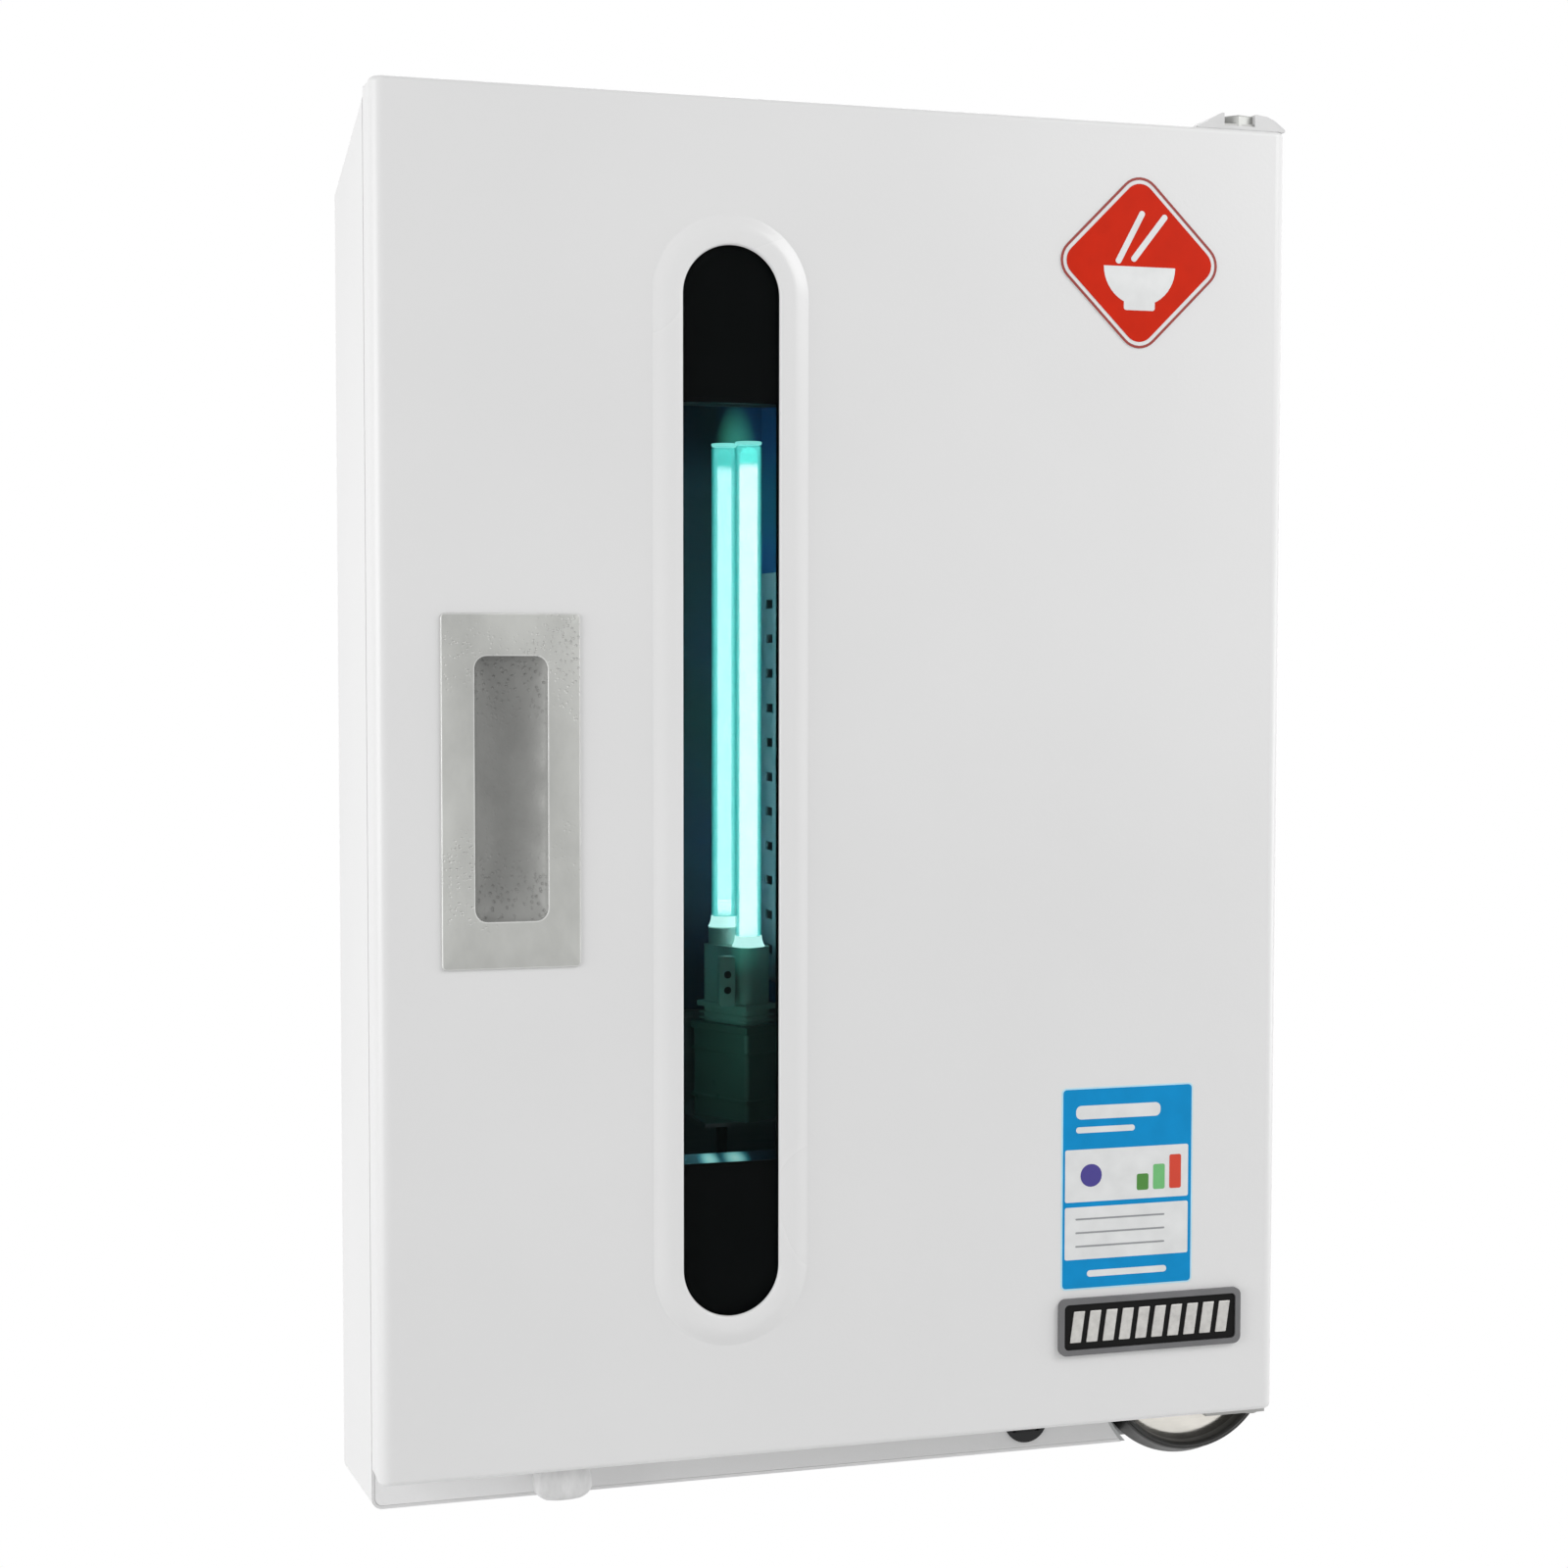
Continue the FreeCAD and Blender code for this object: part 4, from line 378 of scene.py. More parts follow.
def cup_painted_shade():
    """The finger cup's casting in painted shade for its depth, with painted light towards the right wall,
    and pits near both ends.
    """
    middle = middle_of("recessed_handle")
    material, tree = new_material("handle_cup_painted_shade", (0.25, 0.25, 0.24), 0.6, 0.2)
    across = along_axis(tree, "X", middle.x - CUP_WIDTH / 2, middle.x + CUP_WIDTH / 2)
    # Painted shade for the deep cup, lighter towards the right wall as painted light.
    shades = ramp(tree, across, [(0.0, (0.215, 0.217, 0.208)), (0.5, (0.235, 0.237, 0.228)),
                                 (1.0, (0.330, 0.332, 0.320))])
    mottle = ramp(tree, noise(tree, 42.0, 6.0, (1.0, 1.0, 0.6), 0.62), [(0.3, 0.86), (0.7, 1.10)])
    feed(material, "Base Color", combined(tree, "VectorMath", "MULTIPLY", shades, mottle))
    vary_roughness(material, noise(tree, 120.0, 4.0), 0.50, 0.68)
    from_middle = add_node(tree, "Math", {0: axis_place(tree, "Z")}, operation="ABSOLUTE").outputs[0]
    ends = spread(tree, from_middle, 0.15, 1.0, CUP_HEIGHT * 0.22, CUP_HEIGHT * 0.40)
    add_bump(material, pitted(tree, ends, 560.0, 0.10, 0.38), 0.0004, 0.9)
    add_bump(material, noise(tree, 300.0, 5.0), 0.00016, 0.7)
    return material


def moulded(name, colour, roughness, grain=900.0, relief=0.00003, **constants):
    """Moulded plastic or rubber with a fine texture."""
    material, tree = new_material(name, colour, roughness, **constants)
    vary_colour(material, colour, noise(tree, 55.0, 3.0), 0.93, 1.06)
    vary_roughness(material, noise(tree, 160.0, 3.0), roughness - 0.05, roughness + 0.07)
    add_bump(material, noise(tree, grain, 2.0), relief, 0.6)
    return material


def flat_print(name, colour, roughness=0.45, **constants):
    """Printed ink or stoved enamel, with a faint unevenness."""
    material, tree = new_material(name, colour, roughness, **constants)
    vary_colour(material, colour, noise(tree, 110.0, 3.0), 0.95, 1.05)
    vary_roughness(material, noise(tree, 300.0, 2.0), roughness - 0.05, roughness + 0.08)
    add_bump(material, noise(tree, 900.0, 2.0), 0.00001, 0.4)
    return material


def polished_dial():
    """Turned bright metal with faint rings about the dial's axis, a warm cast and soft grey streaks in its
    colour that are a painted reflection.
    """
    colour = (0.76, 0.735, 0.68)
    material, tree = new_material("dial_bright_metal", colour, 0.16, 1.0)
    turn = (math.radians(90), 0, 0)
    place = add_node(tree, "Mapping", {"Vector": own_place(tree), "Location": -middle_of("timer_dial"),
                                       "Rotation": turn})
    rings = add_node(tree, "TexWave", {"Vector": place.outputs["Vector"], "Scale": 260.0, "Distortion": 0.6},
                     wave_type="RINGS", rings_direction="Z")
    add_bump(material, rings.outputs["Fac"], 0.00001, 0.25)
    vary_roughness(material, noise(tree, 90.0, 4.0), 0.12, 0.24)
    # Painted reflection: soft grey streaks in the colour stand for reflected bands.
    vary_colour(material, colour, noise(tree, 1.0, 3.0, (60.0, 60.0, 150.0)), 0.86, 1.06)
    return material


def silicone():
    """Milky silicone with blotchy streaks along its drop: painted highlights in its colour, and real streaks
    in its roughness and relief.
    """
    colour = (0.72, 0.72, 0.72)
    material, tree = new_material("milky_silicone", colour, 0.42)
    streaks = noise(tree, 1.0, 4.0, (260.0, 260.0, 60.0), 0.6)
    # The colour streaks are painted highlights.
    vary_colour(material, colour, noise(tree, 1.0, 4.0, (190.0, 190.0, 70.0), 0.6), 0.88, 1.10)
    vary_roughness(material, streaks, 0.34, 0.52)
    add_bump(material, streaks, 0.0003, 0.5)
    return material


def tinted_glass():
    """Dark flat glass: each face passes part of the light behind it."""
    material, tree = new_material("dark_tinted_glass", (0.002, 0.003, 0.003), 0.04, IOR=1.12, Alpha=0.40)
    vary_roughness(material, noise(tree, 25.0, 3.0), 0.03, 0.07)
    return material


def glowing(name, strength, stops, **constants):
    """A lit surface whose colour follows its height along the lamp's glass."""
    material, tree = new_material(name, (0.3, 0.3, 0.3), 0.3, **constants)
    low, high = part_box("lamp_tube")
    emit(material, ramp(tree, along_axis(tree, "Z", low.z, high.z), stops), strength)
    return material


def lit_quartz():
    """The lamp's glass wall, faintly lit, with the bright gas column showing through it."""
    material, tree = new_material("lit_quartz", (0.10, 0.45, 0.42), 0.12, Alpha=0.12)
    cloud = noise(tree, 60.0, 2.0, (1.0, 1.0, 0.3))
    shades = [(0.3, (0.03, 0.40, 0.36)), (0.7, (0.05, 0.52, 0.48))]
    emit(material, ramp(tree, cloud, shades), QUARTZ_STRENGTH)
    return material


def gas_glow(name, core, foot, head, dim_below, dim_above):
    """A gas column, nearly white along its length and dim teal at its foot and its head."""
    low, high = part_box("lamp_tube")
    tall = high.z - low.z
    stops = [(0.0, foot), (dim_below / tall, foot), ((dim_below + 3 * MM) / tall, core),
             (1.0 - (dim_above + 2.5 * MM) / tall, core), (1.0 - dim_above / tall, head), (1.0, head)]
    return glowing(name, GAS_STRENGTH, stops)


def gas_halo(name, shade, alpha):
    """A soft shell around a gas column."""
    return glowing(name, HALO_STRENGTH, [(0.0, shade), (1.0, tinted(shade, 0.94))], Alpha=alpha)


def collar_glow_and_painted_glint():
    """The bright rings where the glass turns over: the lamp's glowing collars, and a painted glint on each
    leg's top rim.
    """
    shades = [(0.0, (0.56, 1.0, 0.95)), (0.9, (0.40, 0.98, 0.92)), (1.0, (0.22, 0.78, 0.72))]
    return glowing("collar_glow_and_painted_glint", COLLAR_STRENGTH, shades)


def lamp_cap_plastic():
    """Pale moulded plastic, with a painted green glow of lamp light where the front leg enters it."""
    material = moulded("lamp_cap", (0.46, 0.68, 0.62), 0.35)
    tree = material.node_tree
    front = tube_places()[1]
    # Painted light: a green glow emitted where the front leg enters the cap.
    spot = (front.x - 3.5 * MM, front.y - 6 * MM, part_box("lamp_base")[1].z + 1 * MM)
    near = distance_from(tree, spot, (8 * MM, 8 * MM, 13 * MM))
    emit(material, ramp(tree, near, [(0.0, (0.050, 0.42, 0.30)), (0.45, (0.016, 0.15, 0.11)), (1.0, 0.0)]))
    return material


def reflector_sheet():
    """Dull sheet behind the lamp: painted shade in dark teal at the left, blue at the right that stands for
    the lamp's blue light, and a painted green glow over the lamp.
    """
    material, tree = new_material("reflector_sheet", (0.03, 0.06, 0.08), 0.42, 0.15)
    low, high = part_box("lamp_reflector")
    grain = noise(tree, 1.0, 6.0, (900.0, 900.0, 7.0), 0.65)
    # Painted shade at the left; the blue at the right stands for the lamp's blue light.
    stops = [(0.0, (0.024, 0.058, 0.092)), (0.40, (0.024, 0.064, 0.098)), (0.70, (0.050, 0.22, 0.60)),
             (1.0, (0.060, 0.30, 0.75))]
    shades = ramp(tree, along_axis(tree, "X", low.x + 14 * MM, high.x), stops)
    clouds = noise(tree, 16.0, 2.0, (1.0, 1.0, 0.8))
    drift = ramp(tree, clouds, [(0.35, (0.70, 1.10, 0.72)), (0.65, (1.15, 0.85, 1.20))])
    feed(material, "Base Color", combined(tree, "VectorMath", "MULTIPLY", shades, drift))
    # Painted light: a green glow emitted over the lamp.
    front = tube_places()[1]
    over_lamp = (front.x + 7.4 * MM, low.y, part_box("lamp_tube")[1].z + 0.5 * MM)
    plume = distance_from(tree, over_lamp, (PLUME_HALF_WIDTH, 1.0, PLUME_HEIGHT))
    emit(material, ramp(tree, plume, [(0.0, (0.080, 0.60, 0.42)), (0.5, (0.045, 0.34, 0.22)), (1.0, 0.0)]))
    vary_roughness(material, grain, 0.34, 0.5)
    add_bump(material, grain, 0.00002, 0.6)
    return material


def sill_with_painted_reflection():
    """A dark glossy strip with a painted reflection: the soft double image of the lamp's two legs, emitted.
    """
    material, tree = new_material("sill_painted_reflection", (0.03, 0.05, 0.10), 0.22, 0.6)
    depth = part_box("window_mask")[1].y
    # Painted reflection: two soft emitted images of the lamp's legs.
    shades = [(0.0, (0.55, 1.0, 0.93)), (0.35, (0.30, 0.80, 0.76)), (0.75, (0.02, 0.16, 0.19)), (1.0, 0.0)]
    painted_reflections = []
    for x, reach in ((-53.6 * MM, 5.2 * MM), (-43.6 * MM, 6.4 * MM)):
        away = distance_from(tree, (x, depth, SILL_EDGE_Z + SILL_RISE / 2), (reach, 20 * MM, 4 * MM))
        painted_reflections.append(ramp(tree, away, shades))
    emit(material, combined(tree, "VectorMath", "MAXIMUM", *painted_reflections), SILL_PAINTED_REFLECTION)
    vary_roughness(material, noise(tree, 60.0, 2.0), 0.18, 0.28)
    return material


# Moulded plastics and rubbers by slot: name, colour, roughness and special values.
MOULDED = {
    "black_board": ("black_board", (0.005, 0.005, 0.006), 0.38, {"Specular_IOR_Level": 0.1}),
    "grip_rubber": ("grip_rubber", (0.014, 0.014, 0.013), 0.42, {"grain": 1200.0, "relief": 0.00004}),
    "seal_grey": ("seal_grey", (0.42, 0.43, 0.44), 0.55, {"grain": 700.0, "relief": 0.00006}),
    "hinge_cover": ("hinge_cover", (0.70, 0.70, 0.70), 0.45, {"grain": 600.0, "relief": 0.00005}),
    "nylon": ("natural_nylon", (0.78, 0.76, 0.68), 0.42, {}),
    "lamp_socket": ("lamp_socket", (0.17, 0.27, 0.24), 0.32, {}),
    "ballast_coat": ("ballast_enamel", (0.18, 0.19, 0.20), 0.5, {}),
    "electric_black": ("electric_black", (0.012, 0.012, 0.013), 0.34, {"Specular_IOR_Level": 0.3}),
    "well_grey": ("well_grey", (0.50, 0.51, 0.51), 0.45, {}),
    "lead_black": ("lead_sheath", (0.015, 0.015, 0.016), 0.5, {}),
    "magnet": ("magnet_case", (0.05, 0.035, 0.025), 0.5, {}),
}
# Inks and enamels: colour, roughness and special values.
PRINTED = {
    "badge_red": ((0.62, 0.020, 0.003), 0.40, {"Specular_IOR_Level": 0.1}),
    "badge_line": ((0.30, 0.030, 0.020), 0.36, {}),
    "print_white": ((0.78, 0.79, 0.79), 0.38, {}),
    "label_blue": ((0.006, 0.28, 0.62), 0.45, {"Specular_IOR_Level": 0.1}),
    "label_green": ((0.065, 0.24, 0.035), 0.45, {}),
    "label_leaf": ((0.16, 0.50, 0.18), 0.45, {}),
    "label_red": ((0.66, 0.050, 0.020), 0.45, {}),
    "label_violet": ((0.055, 0.040, 0.26), 0.45, {}),
    "label_grey": ((0.30, 0.31, 0.32), 0.45, {}),
    "label_edge": ((0.50, 0.80, 0.92), 0.40, {}),
    "plate_field": ((0.008, 0.008, 0.008), 0.38, {"Specular_IOR_Level": 0.1}),
}
# Soft shells around the gas: colour and alpha.
HALOS = {
    "halo_rear": ((0.42, 0.88, 0.88), 0.35),
    "halo_front": ((0.62, 0.93, 0.93), 0.35),
    "halo_middle": ((0.20, 0.85, 0.82), 0.36),
    "halo_outer": ((0.08, 0.66, 0.62), 0.28),
    "halo_rim": ((0.03, 0.42, 0.39), 0.18),
}


def make_paint():
    """Fills PAINT with a material for each slot and for each trim piece."""
    across, upward = (7.0, 900.0, 900.0), (900.0, 900.0, 7.0)
    even, coarse = (300.0, 300.0, 300.0), (400.0, 400.0, 400.0)
    PAINT.update({
        "white_coat": powder_coat("white_powder_coat", (0.80, 0.80, 0.80), 0.36),
        "inner_white": powder_coat("inner_enamel", (0.76, 0.77, 0.78), 0.30),
        "bezel_white": powder_coat("bezel_moulding", (0.81, 0.81, 0.81), 0.30),
        "fascia_coat_painted_shade": fascia_painted_shade(),
        "galvanised": galvanised(),
        "liner_steel": brushed_metal("liner_stainless", (0.50, 0.52, 0.55), 0.34, across),
        "hinge_steel": brushed_metal("hinge_zinc", (0.42, 0.42, 0.41), 0.48, across, 0.6),
        "screw_zinc": brushed_metal("screw_zinc", (0.43, 0.435, 0.42), 0.46, even, 0.6),
        "basket_steel": brushed_metal("basket_sheet", (0.40, 0.54, 0.60), 0.42, upward, 0.3),
        "plate_rib": brushed_metal("plate_rib", (0.56, 0.55, 0.53), 0.38, coarse, 0.8),
        "handle_satin": cast_handle("handle_casting", (0.48, 0.485, 0.465), 0.46),
        # A lighter copy of the casting: a painted highlight on the lip and the plate's edge.
        "handle_rim_painted_highlight": cast_handle("handle_rim_painted_highlight", (0.62, 0.625, 0.61), 0.46),
        "plate_frame": cast_handle("plate_frame", (0.16, 0.16, 0.165), 0.42),
        # The finger cup's casting, in painted shade.
        "handle_cup_painted_shade": cup_painted_shade(),
        "dial_face": polished_dial(),
        "silicone": silicone(),
        "window_tint": tinted_glass(),
        "lamp_glass": lit_quartz(),
        "lamp_plastic": lamp_cap_plastic(),
        "reflector": reflector_sheet(),
        "sill_painted_reflection": sill_with_painted_reflection(),
        # Lamp glow for the collars, and a painted glint for each leg's top rim.
        "collar_glow_and_painted_glint": collar_glow_and_painted_glint(),
        "gas_glow_rear": gas_glow("gas_glow_rear", (0.67, 0.89, 0.95), (0.12, 0.22, 0.18),
                                  (0.02, 0.20, 0.17), 11 * MM, 9.0 * MM),
        "gas_glow_front": gas_glow("gas_glow_front", (1.0, 0.96, 0.98), (0.40, 0.56, 0.50),
                                   (0.06, 0.44, 0.38), 3 * MM, 8.5 * MM),
    })
    for slot, (name, colour, roughness, special) in MOULDED.items():
        PAINT[slot] = moulded(name, colour, roughness, **special)
    for name, (colour, roughness, special) in PRINTED.items():
        PAINT[name] = flat_print(name, colour, roughness, **special)
    for name, (shade, alpha) in HALOS.items():
        PAINT[name] = gas_halo(name, shade, alpha)


def dress_frame():
    """Every CAD node takes the material of its slot."""
    for part in frame["record"]["subparts"]:
        mesh = frame["nodes"][part["node"]].data
        # The fascia takes the coat with painted light and shade.
        material = PAINT["fascia_coat_painted_shade" if part["node"] == "front_fascia" else part["material_slot"]]
        if not mesh.materials:
            mesh.materials.append(material)
        for place in range(len(mesh.materials)):
            mesh.materials[place] = material


# ================================================================ mesh helpers

def new_piece(name, points, faces, paint, body, smooth_angle=None):
    """A mesh object that rides on a body."""
    mesh = bpy.data.meshes.new(name)
    mesh.from_pydata([tuple(point) for point in points], [], faces)
    clean = bmesh.new()
    clean.from_mesh(mesh)
    bmesh.ops.remove_doubles(clean, verts=clean.verts, dist=0.002 * MM)
    bmesh.ops.recalc_face_normals(clean, faces=clean.faces)
    clean.to_mesh(mesh)
    clean.free()
    if smooth_angle is not None:
        mesh.polygons.foreach_set("use_smooth", [True] * len(mesh.polygons))
        mesh.set_sharp_from_angle(angle=math.radians(smooth_angle))
    return add_object(name, mesh, paint, body)


def add_object(name, data, paint, body):
    data.materials.append(PAINT[paint])
    piece = bpy.data.objects.new(name, data)
    bpy.context.scene.collection.objects.link(piece)
    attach(piece, body)
    return piece


def soften(piece, width):
    """Round the piece's sharp edges."""
    bevel = piece.modifiers.new("soft_edges", "BEVEL")
    bevel.width = width
    bevel.segments = 2
    bevel.limit_method = "ANGLE"
    bevel.angle_limit = math.radians(30)
    bevel.harden_normals = False


def arc(x, z, radius, start, end, steps):
    """Points on a circle from start to end degrees."""
    angles = [math.radians(start + (end - start) * step / steps) for step in range(steps + 1)]
    return [(x + radius * math.cos(angle), z + radius * math.sin(angle)) for angle in angles]


def rounded_rectangle(width, height, radius, x=0.0, z=0.0, steps=6):
    """The outline of a rectangle with round corners, anticlockwise from the lower right."""
    half, rise = width / 2 - radius, height / 2 - radius
    corners = [(half, -rise, -90), (half, rise, 0), (-half, rise, 90), (-half, -rise, 180)]
    outline = []
    for dx, dz, start in corners:
        outline += arc(x + dx, z + dz, radius, start, start + 90, steps)
    return outline


def turned_outline(outline, x, z, degrees):
    cos, sin = math.cos(math.radians(degrees)), math.sin(math.radians(degrees))
    return [(x + (px - x) * cos - (pz - z) * sin, z + (px - x) * sin + (pz - z) * cos) for px, pz in outline]


def at_depth(outline, y):
    return [(x, y, z) for x, z in outline]


def ring_faces(count, rings):
    """Quads between successive closed rings of equal count."""
    faces = []
    for ring in range(rings - 1):
        for step in range(count):
            a = ring * count + step
            b = ring * count + (step + 1) % count
            faces.append((a, b, b + count, a + count))
    return faces


def skin(name, loops, paint, body, smooth_angle=None, end="open"):
    """A surface through rings of equal count: open, capped at its end, closed at both ends, or joined."""
    count = len(loops[0])
    last = (len(loops) - 1) * count
    faces = ring_faces(count, len(loops))
    if end == "closed":
        faces.append(tuple(range(count)))
    if end in ("capped", "closed"):
        faces.append(tuple(range(last, last + count)))
    if end == "joined":
        pairs = [(step, (step + 1) % count) for step in range(count)]
        faces += [(last + a, last + b, b, a) for a, b in pairs]
    points = [point for ring in loops for point in ring]
    return new_piece(name, points, faces, paint, body, smooth_angle)


def slab(name, outline, y_back, y_front, paint, body, edge=0.0):
    """A flat shape raised from y_back to y_front."""
    loops = [at_depth(outline, y_back), at_depth(outline, y_front)]
    piece = skin(name, loops, paint, body, end="closed")
    if edge:
        soften(piece, edge)
    return piece


def band(name, outer, inner, y_back, y_front, paint, body, slot):
    """A flat ring between two outlines of equal count."""
    corners = ((outer, y_back), (outer, y_front), (inner, y_front), (inner, y_back))
    loops = [at_depth(outline, y) for outline, y in corners]
    return skin(name, loops, paint, body, end="joined")


def full_turn(steps):
    """Evenly spaced angles all the way around."""
    return [2 * math.pi * step / steps for step in range(steps)]


def across_axis(axis):
    """Two directions square to the axis and to each other."""
    side = EAST if abs(axis.x) < 0.9 else NORTH
    return side, axis.cross(side).normalized()


def lathe(name, profile, centre, axis, paint, body, steps=96, smooth_angle=40):
    """A profile of (radius, distance along the axis) turned about the axis through the centre."""
    across = across_axis(axis)[1]
    side = across.cross(axis).normalized()
    turns = [side * math.cos(angle) + across * math.sin(angle) for angle in full_turn(steps)]
    loops = [[centre + axis * along + turn * max(radius, 0.001 * MM) for turn in turns]
             for radius, along in profile]
    return skin(name, loops, paint, body, smooth_angle)


def clusters(node, reach):
    """The boxes of a node's separate solids, each smaller than the reach."""
    groups = []
    for vertex in frame["nodes"][node].data.vertices:
        point = vertex.co
        for group in groups:
            if (group[0] - point).length < reach:
                group.append(point)
                break
        else:
            groups.append([point])
    boxes = []
    for group in groups:
        low = Vector([min(point[axis] for point in group) for axis in range(3)])
        high = Vector([max(point[axis] for point in group) for axis in range(3)])
        boxes.append((low, high))
    return boxes


# ================================================================ door trim

def make_badge():
    """A red lozenge with a thin outline and a white bowl and chopsticks."""
    low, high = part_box("badge")
    x, _, z = middle_of("badge")
    ground, top = high.y, low.y
    side = ((high.x - low.x) / 2 + BADGE_CORNER * (math.sqrt(2) - 1)) * math.sqrt(2)
    levels = [ground + (top - ground) * share for share in (0.55, 0.75, 0.85, 1.0)]

    def lozenge(inset):
        outline = rounded_rectangle(side - 2 * inset, side - 2 * inset, BADGE_CORNER - inset, x, z, 8)
        return turned_outline(outline, x, z, 45)

    def layer(name, outline, back, front, paint):
        return slab(f"badge_{name}", outline, back, front, paint, "door")

    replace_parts(layer("plate", lozenge(0), ground, levels[0], "print_white"), "badge")
    band("badge_outline", lozenge(0.1 * MM), lozenge(BADGE_LINE), levels[0], levels[1], "badge_line", "door",
         "badge_red")
    layer("field", lozenge(BADGE_LINE + BADGE_GAP), levels[0], levels[2], "badge_red")
    rim_z = z - 1.5 * MM
    layer("bowl", arc(x, rim_z, BOWL_RADIUS, 180, 360, 24), levels[2], levels[3], "print_white")
    foot = rounded_rectangle(13 * MM, 4 * MM, 1 * MM, x, rim_z - BOWL_RADIUS + 0.2 * MM)
    layer("bowl_foot", foot, levels[2], levels[3] + 0.03 * MM, "print_white")
    stick_z = rim_z + 11.2 * MM
    for number, (shift, lean) in enumerate(((4 * MM, 52), (-4 * MM, 62)), start=1):
        stick = rounded_rectangle(23 * MM, 2.4 * MM, 1.1 * MM, x + shift, stick_z)
        stick = turned_outline(stick, x + shift, stick_z, lean)
        layer(f"chopstick_{number}", stick, levels[2], levels[3], "print_white")


# The label's cards: name, place from its middle, width, height, corner (all in mm), layer and paint.
LABEL_CARDS = [
    ("title", -4, 30.2, 36, 5.4, 2.2, 2, "print_white"),
    ("subtitle", -9.5, 23.3, 25, 2.4, 1.2, 2, "print_white"),
    ("panel_upper", -0.2, 5.2, 52.6, 20.8, 0.8, 2, "print_white"),
    ("panel_lower", -0.2, -17.6, 52.6, 20.8, 0.8, 2, "print_white"),
    ("footer", 0, -33.8, 34, 2.6, 1.3, 2, "print_white"),
    ("column_1", 6.5, 1.45, 5, 6.5, 0.8, 3, "label_green"),
    ("column_2", 13.5, 3.2, 5, 10.0, 0.8, 3, "label_leaf"),
    ("column_3", 20.5, 4.95, 5, 13.5, 0.8, 3, "label_red"),
    ("spot", -15.5, 5.2, 9, 9, 4.4, 3, "label_violet"),
    ("rule_1", -3.0, -12.0, 38, 0.7, 0.3, 3, "label_grey"),
    ("rule_2", -3.0, -17.4, 38, 0.7, 0.3, 3, "label_grey"),
    ("rule_3", -3.0, -22.8, 38, 0.7, 0.3, 3, "label_grey"),
]


def make_label():
    """A plain printed card: blue ground, two white panels and coloured bars, with no words."""
    low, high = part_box("info_label")
    x, _, z = middle_of("info_label")
    width, height = high.x - low.x, high.z - low.z
    first = low.y + 3 * PRINT_STEP
    outline = rounded_rectangle(width, height, 2.0 * MM, x, z)
    sheet = slab("label_sheet", outline, high.y, first, "label_edge", "door")
    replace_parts(sheet, "info_label")
    ground = ("ground", 0, 0, width / MM - 1.2, height / MM - 1.2, 1.5, 1, "label_blue")
    for name, dx, dz, wide, tall, corner, layer, paint in [ground] + LABEL_CARDS:
        outline = rounded_rectangle(wide * MM, tall * MM, corner * MM, x + dx * MM, z + dz * MM)
        base = first - (layer - 1) * PRINT_STEP
        slab(f"label_{name}", outline, base, base - PRINT_STEP, paint, "door")


def make_nameplate():
    """A row of bright slanted ribs on the black field, in place of words."""
    low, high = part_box("nameplate_field")
    x, _, z = middle_of("nameplate_field")
    span = (high.x - low.x) - 4 * MM
    pitch = span / RIB_COUNT
    half, lean, rise = pitch * 0.34, RIB_HEIGHT * RIB_SLANT, RIB_HEIGHT
    for number in range(RIB_COUNT):
        centre = x - span / 2 + (number + 0.5) * pitch
        outline = [(centre - half - lean / 2, z - rise / 2), (centre + half - lean / 2, z - rise / 2),
                   (centre + half + lean / 2, z + rise / 2), (centre - half + lean / 2, z + rise / 2)]
        slab(f"nameplate_rib_{number + 1}", outline, low.y, low.y - 0.6 * MM, "plate_rib", "door",
             0.3 * MM)


def make_bezel():
    """The window's surround: a soft crowned band that rises from the door and turns in to the glass."""
    low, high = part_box("window_bezel")
    x, _, z = middle_of("window_bezel")
    width, height = high.x - low.x, high.z - low.z
    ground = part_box("door_shell")[0].y
    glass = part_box("window_glass")[0].y
    rise = ground - low.y
    profile = [(0.0, 0.0), (0.8, 0.13), (1.8, 0.36), (3.0, 0.62), (4.2, 0.83), (5.3, 0.96), (6.2, 1.0),
               (7.4, 0.985), (9.0, 0.93), (10.2, 0.84), (10.8, 0.74), (11.2, 0.58), (11.4, 0.36),
               (11.5, 0.0)]
    loops = []
    for inset, share in profile:
        wide, tall = width - 2 * inset * MM, height - 2 * inset * MM
        outline = rounded_rectangle(wide, tall, width / 2 - inset * MM, x, z, 24)
        loops.append(at_depth(outline, ground - rise * share))
    loops[-1] = [(px, glass - 0.02 * MM, pz) for px, _, pz in loops[-1]]
    surround = skin("window_surround", loops, "bezel_white", "door", 50, "joined")
    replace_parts(surround, "window_bezel")


def cup_depth(dx, dz):
    """How deep the finger cup is at a place given from its middle: a trough with rounded ends."""
    across = min(1.0, abs(dx) / (CUP_WIDTH / 2))
    straight = CUP_HEIGHT / 2 - CUP_END
    along = min(1.0, max(0.0, abs(dz) - straight) / CUP_END)
    return CUP_DEPTH * math.sqrt(1 - across ** 2.2) * math.sqrt(1 - along ** 2.2)


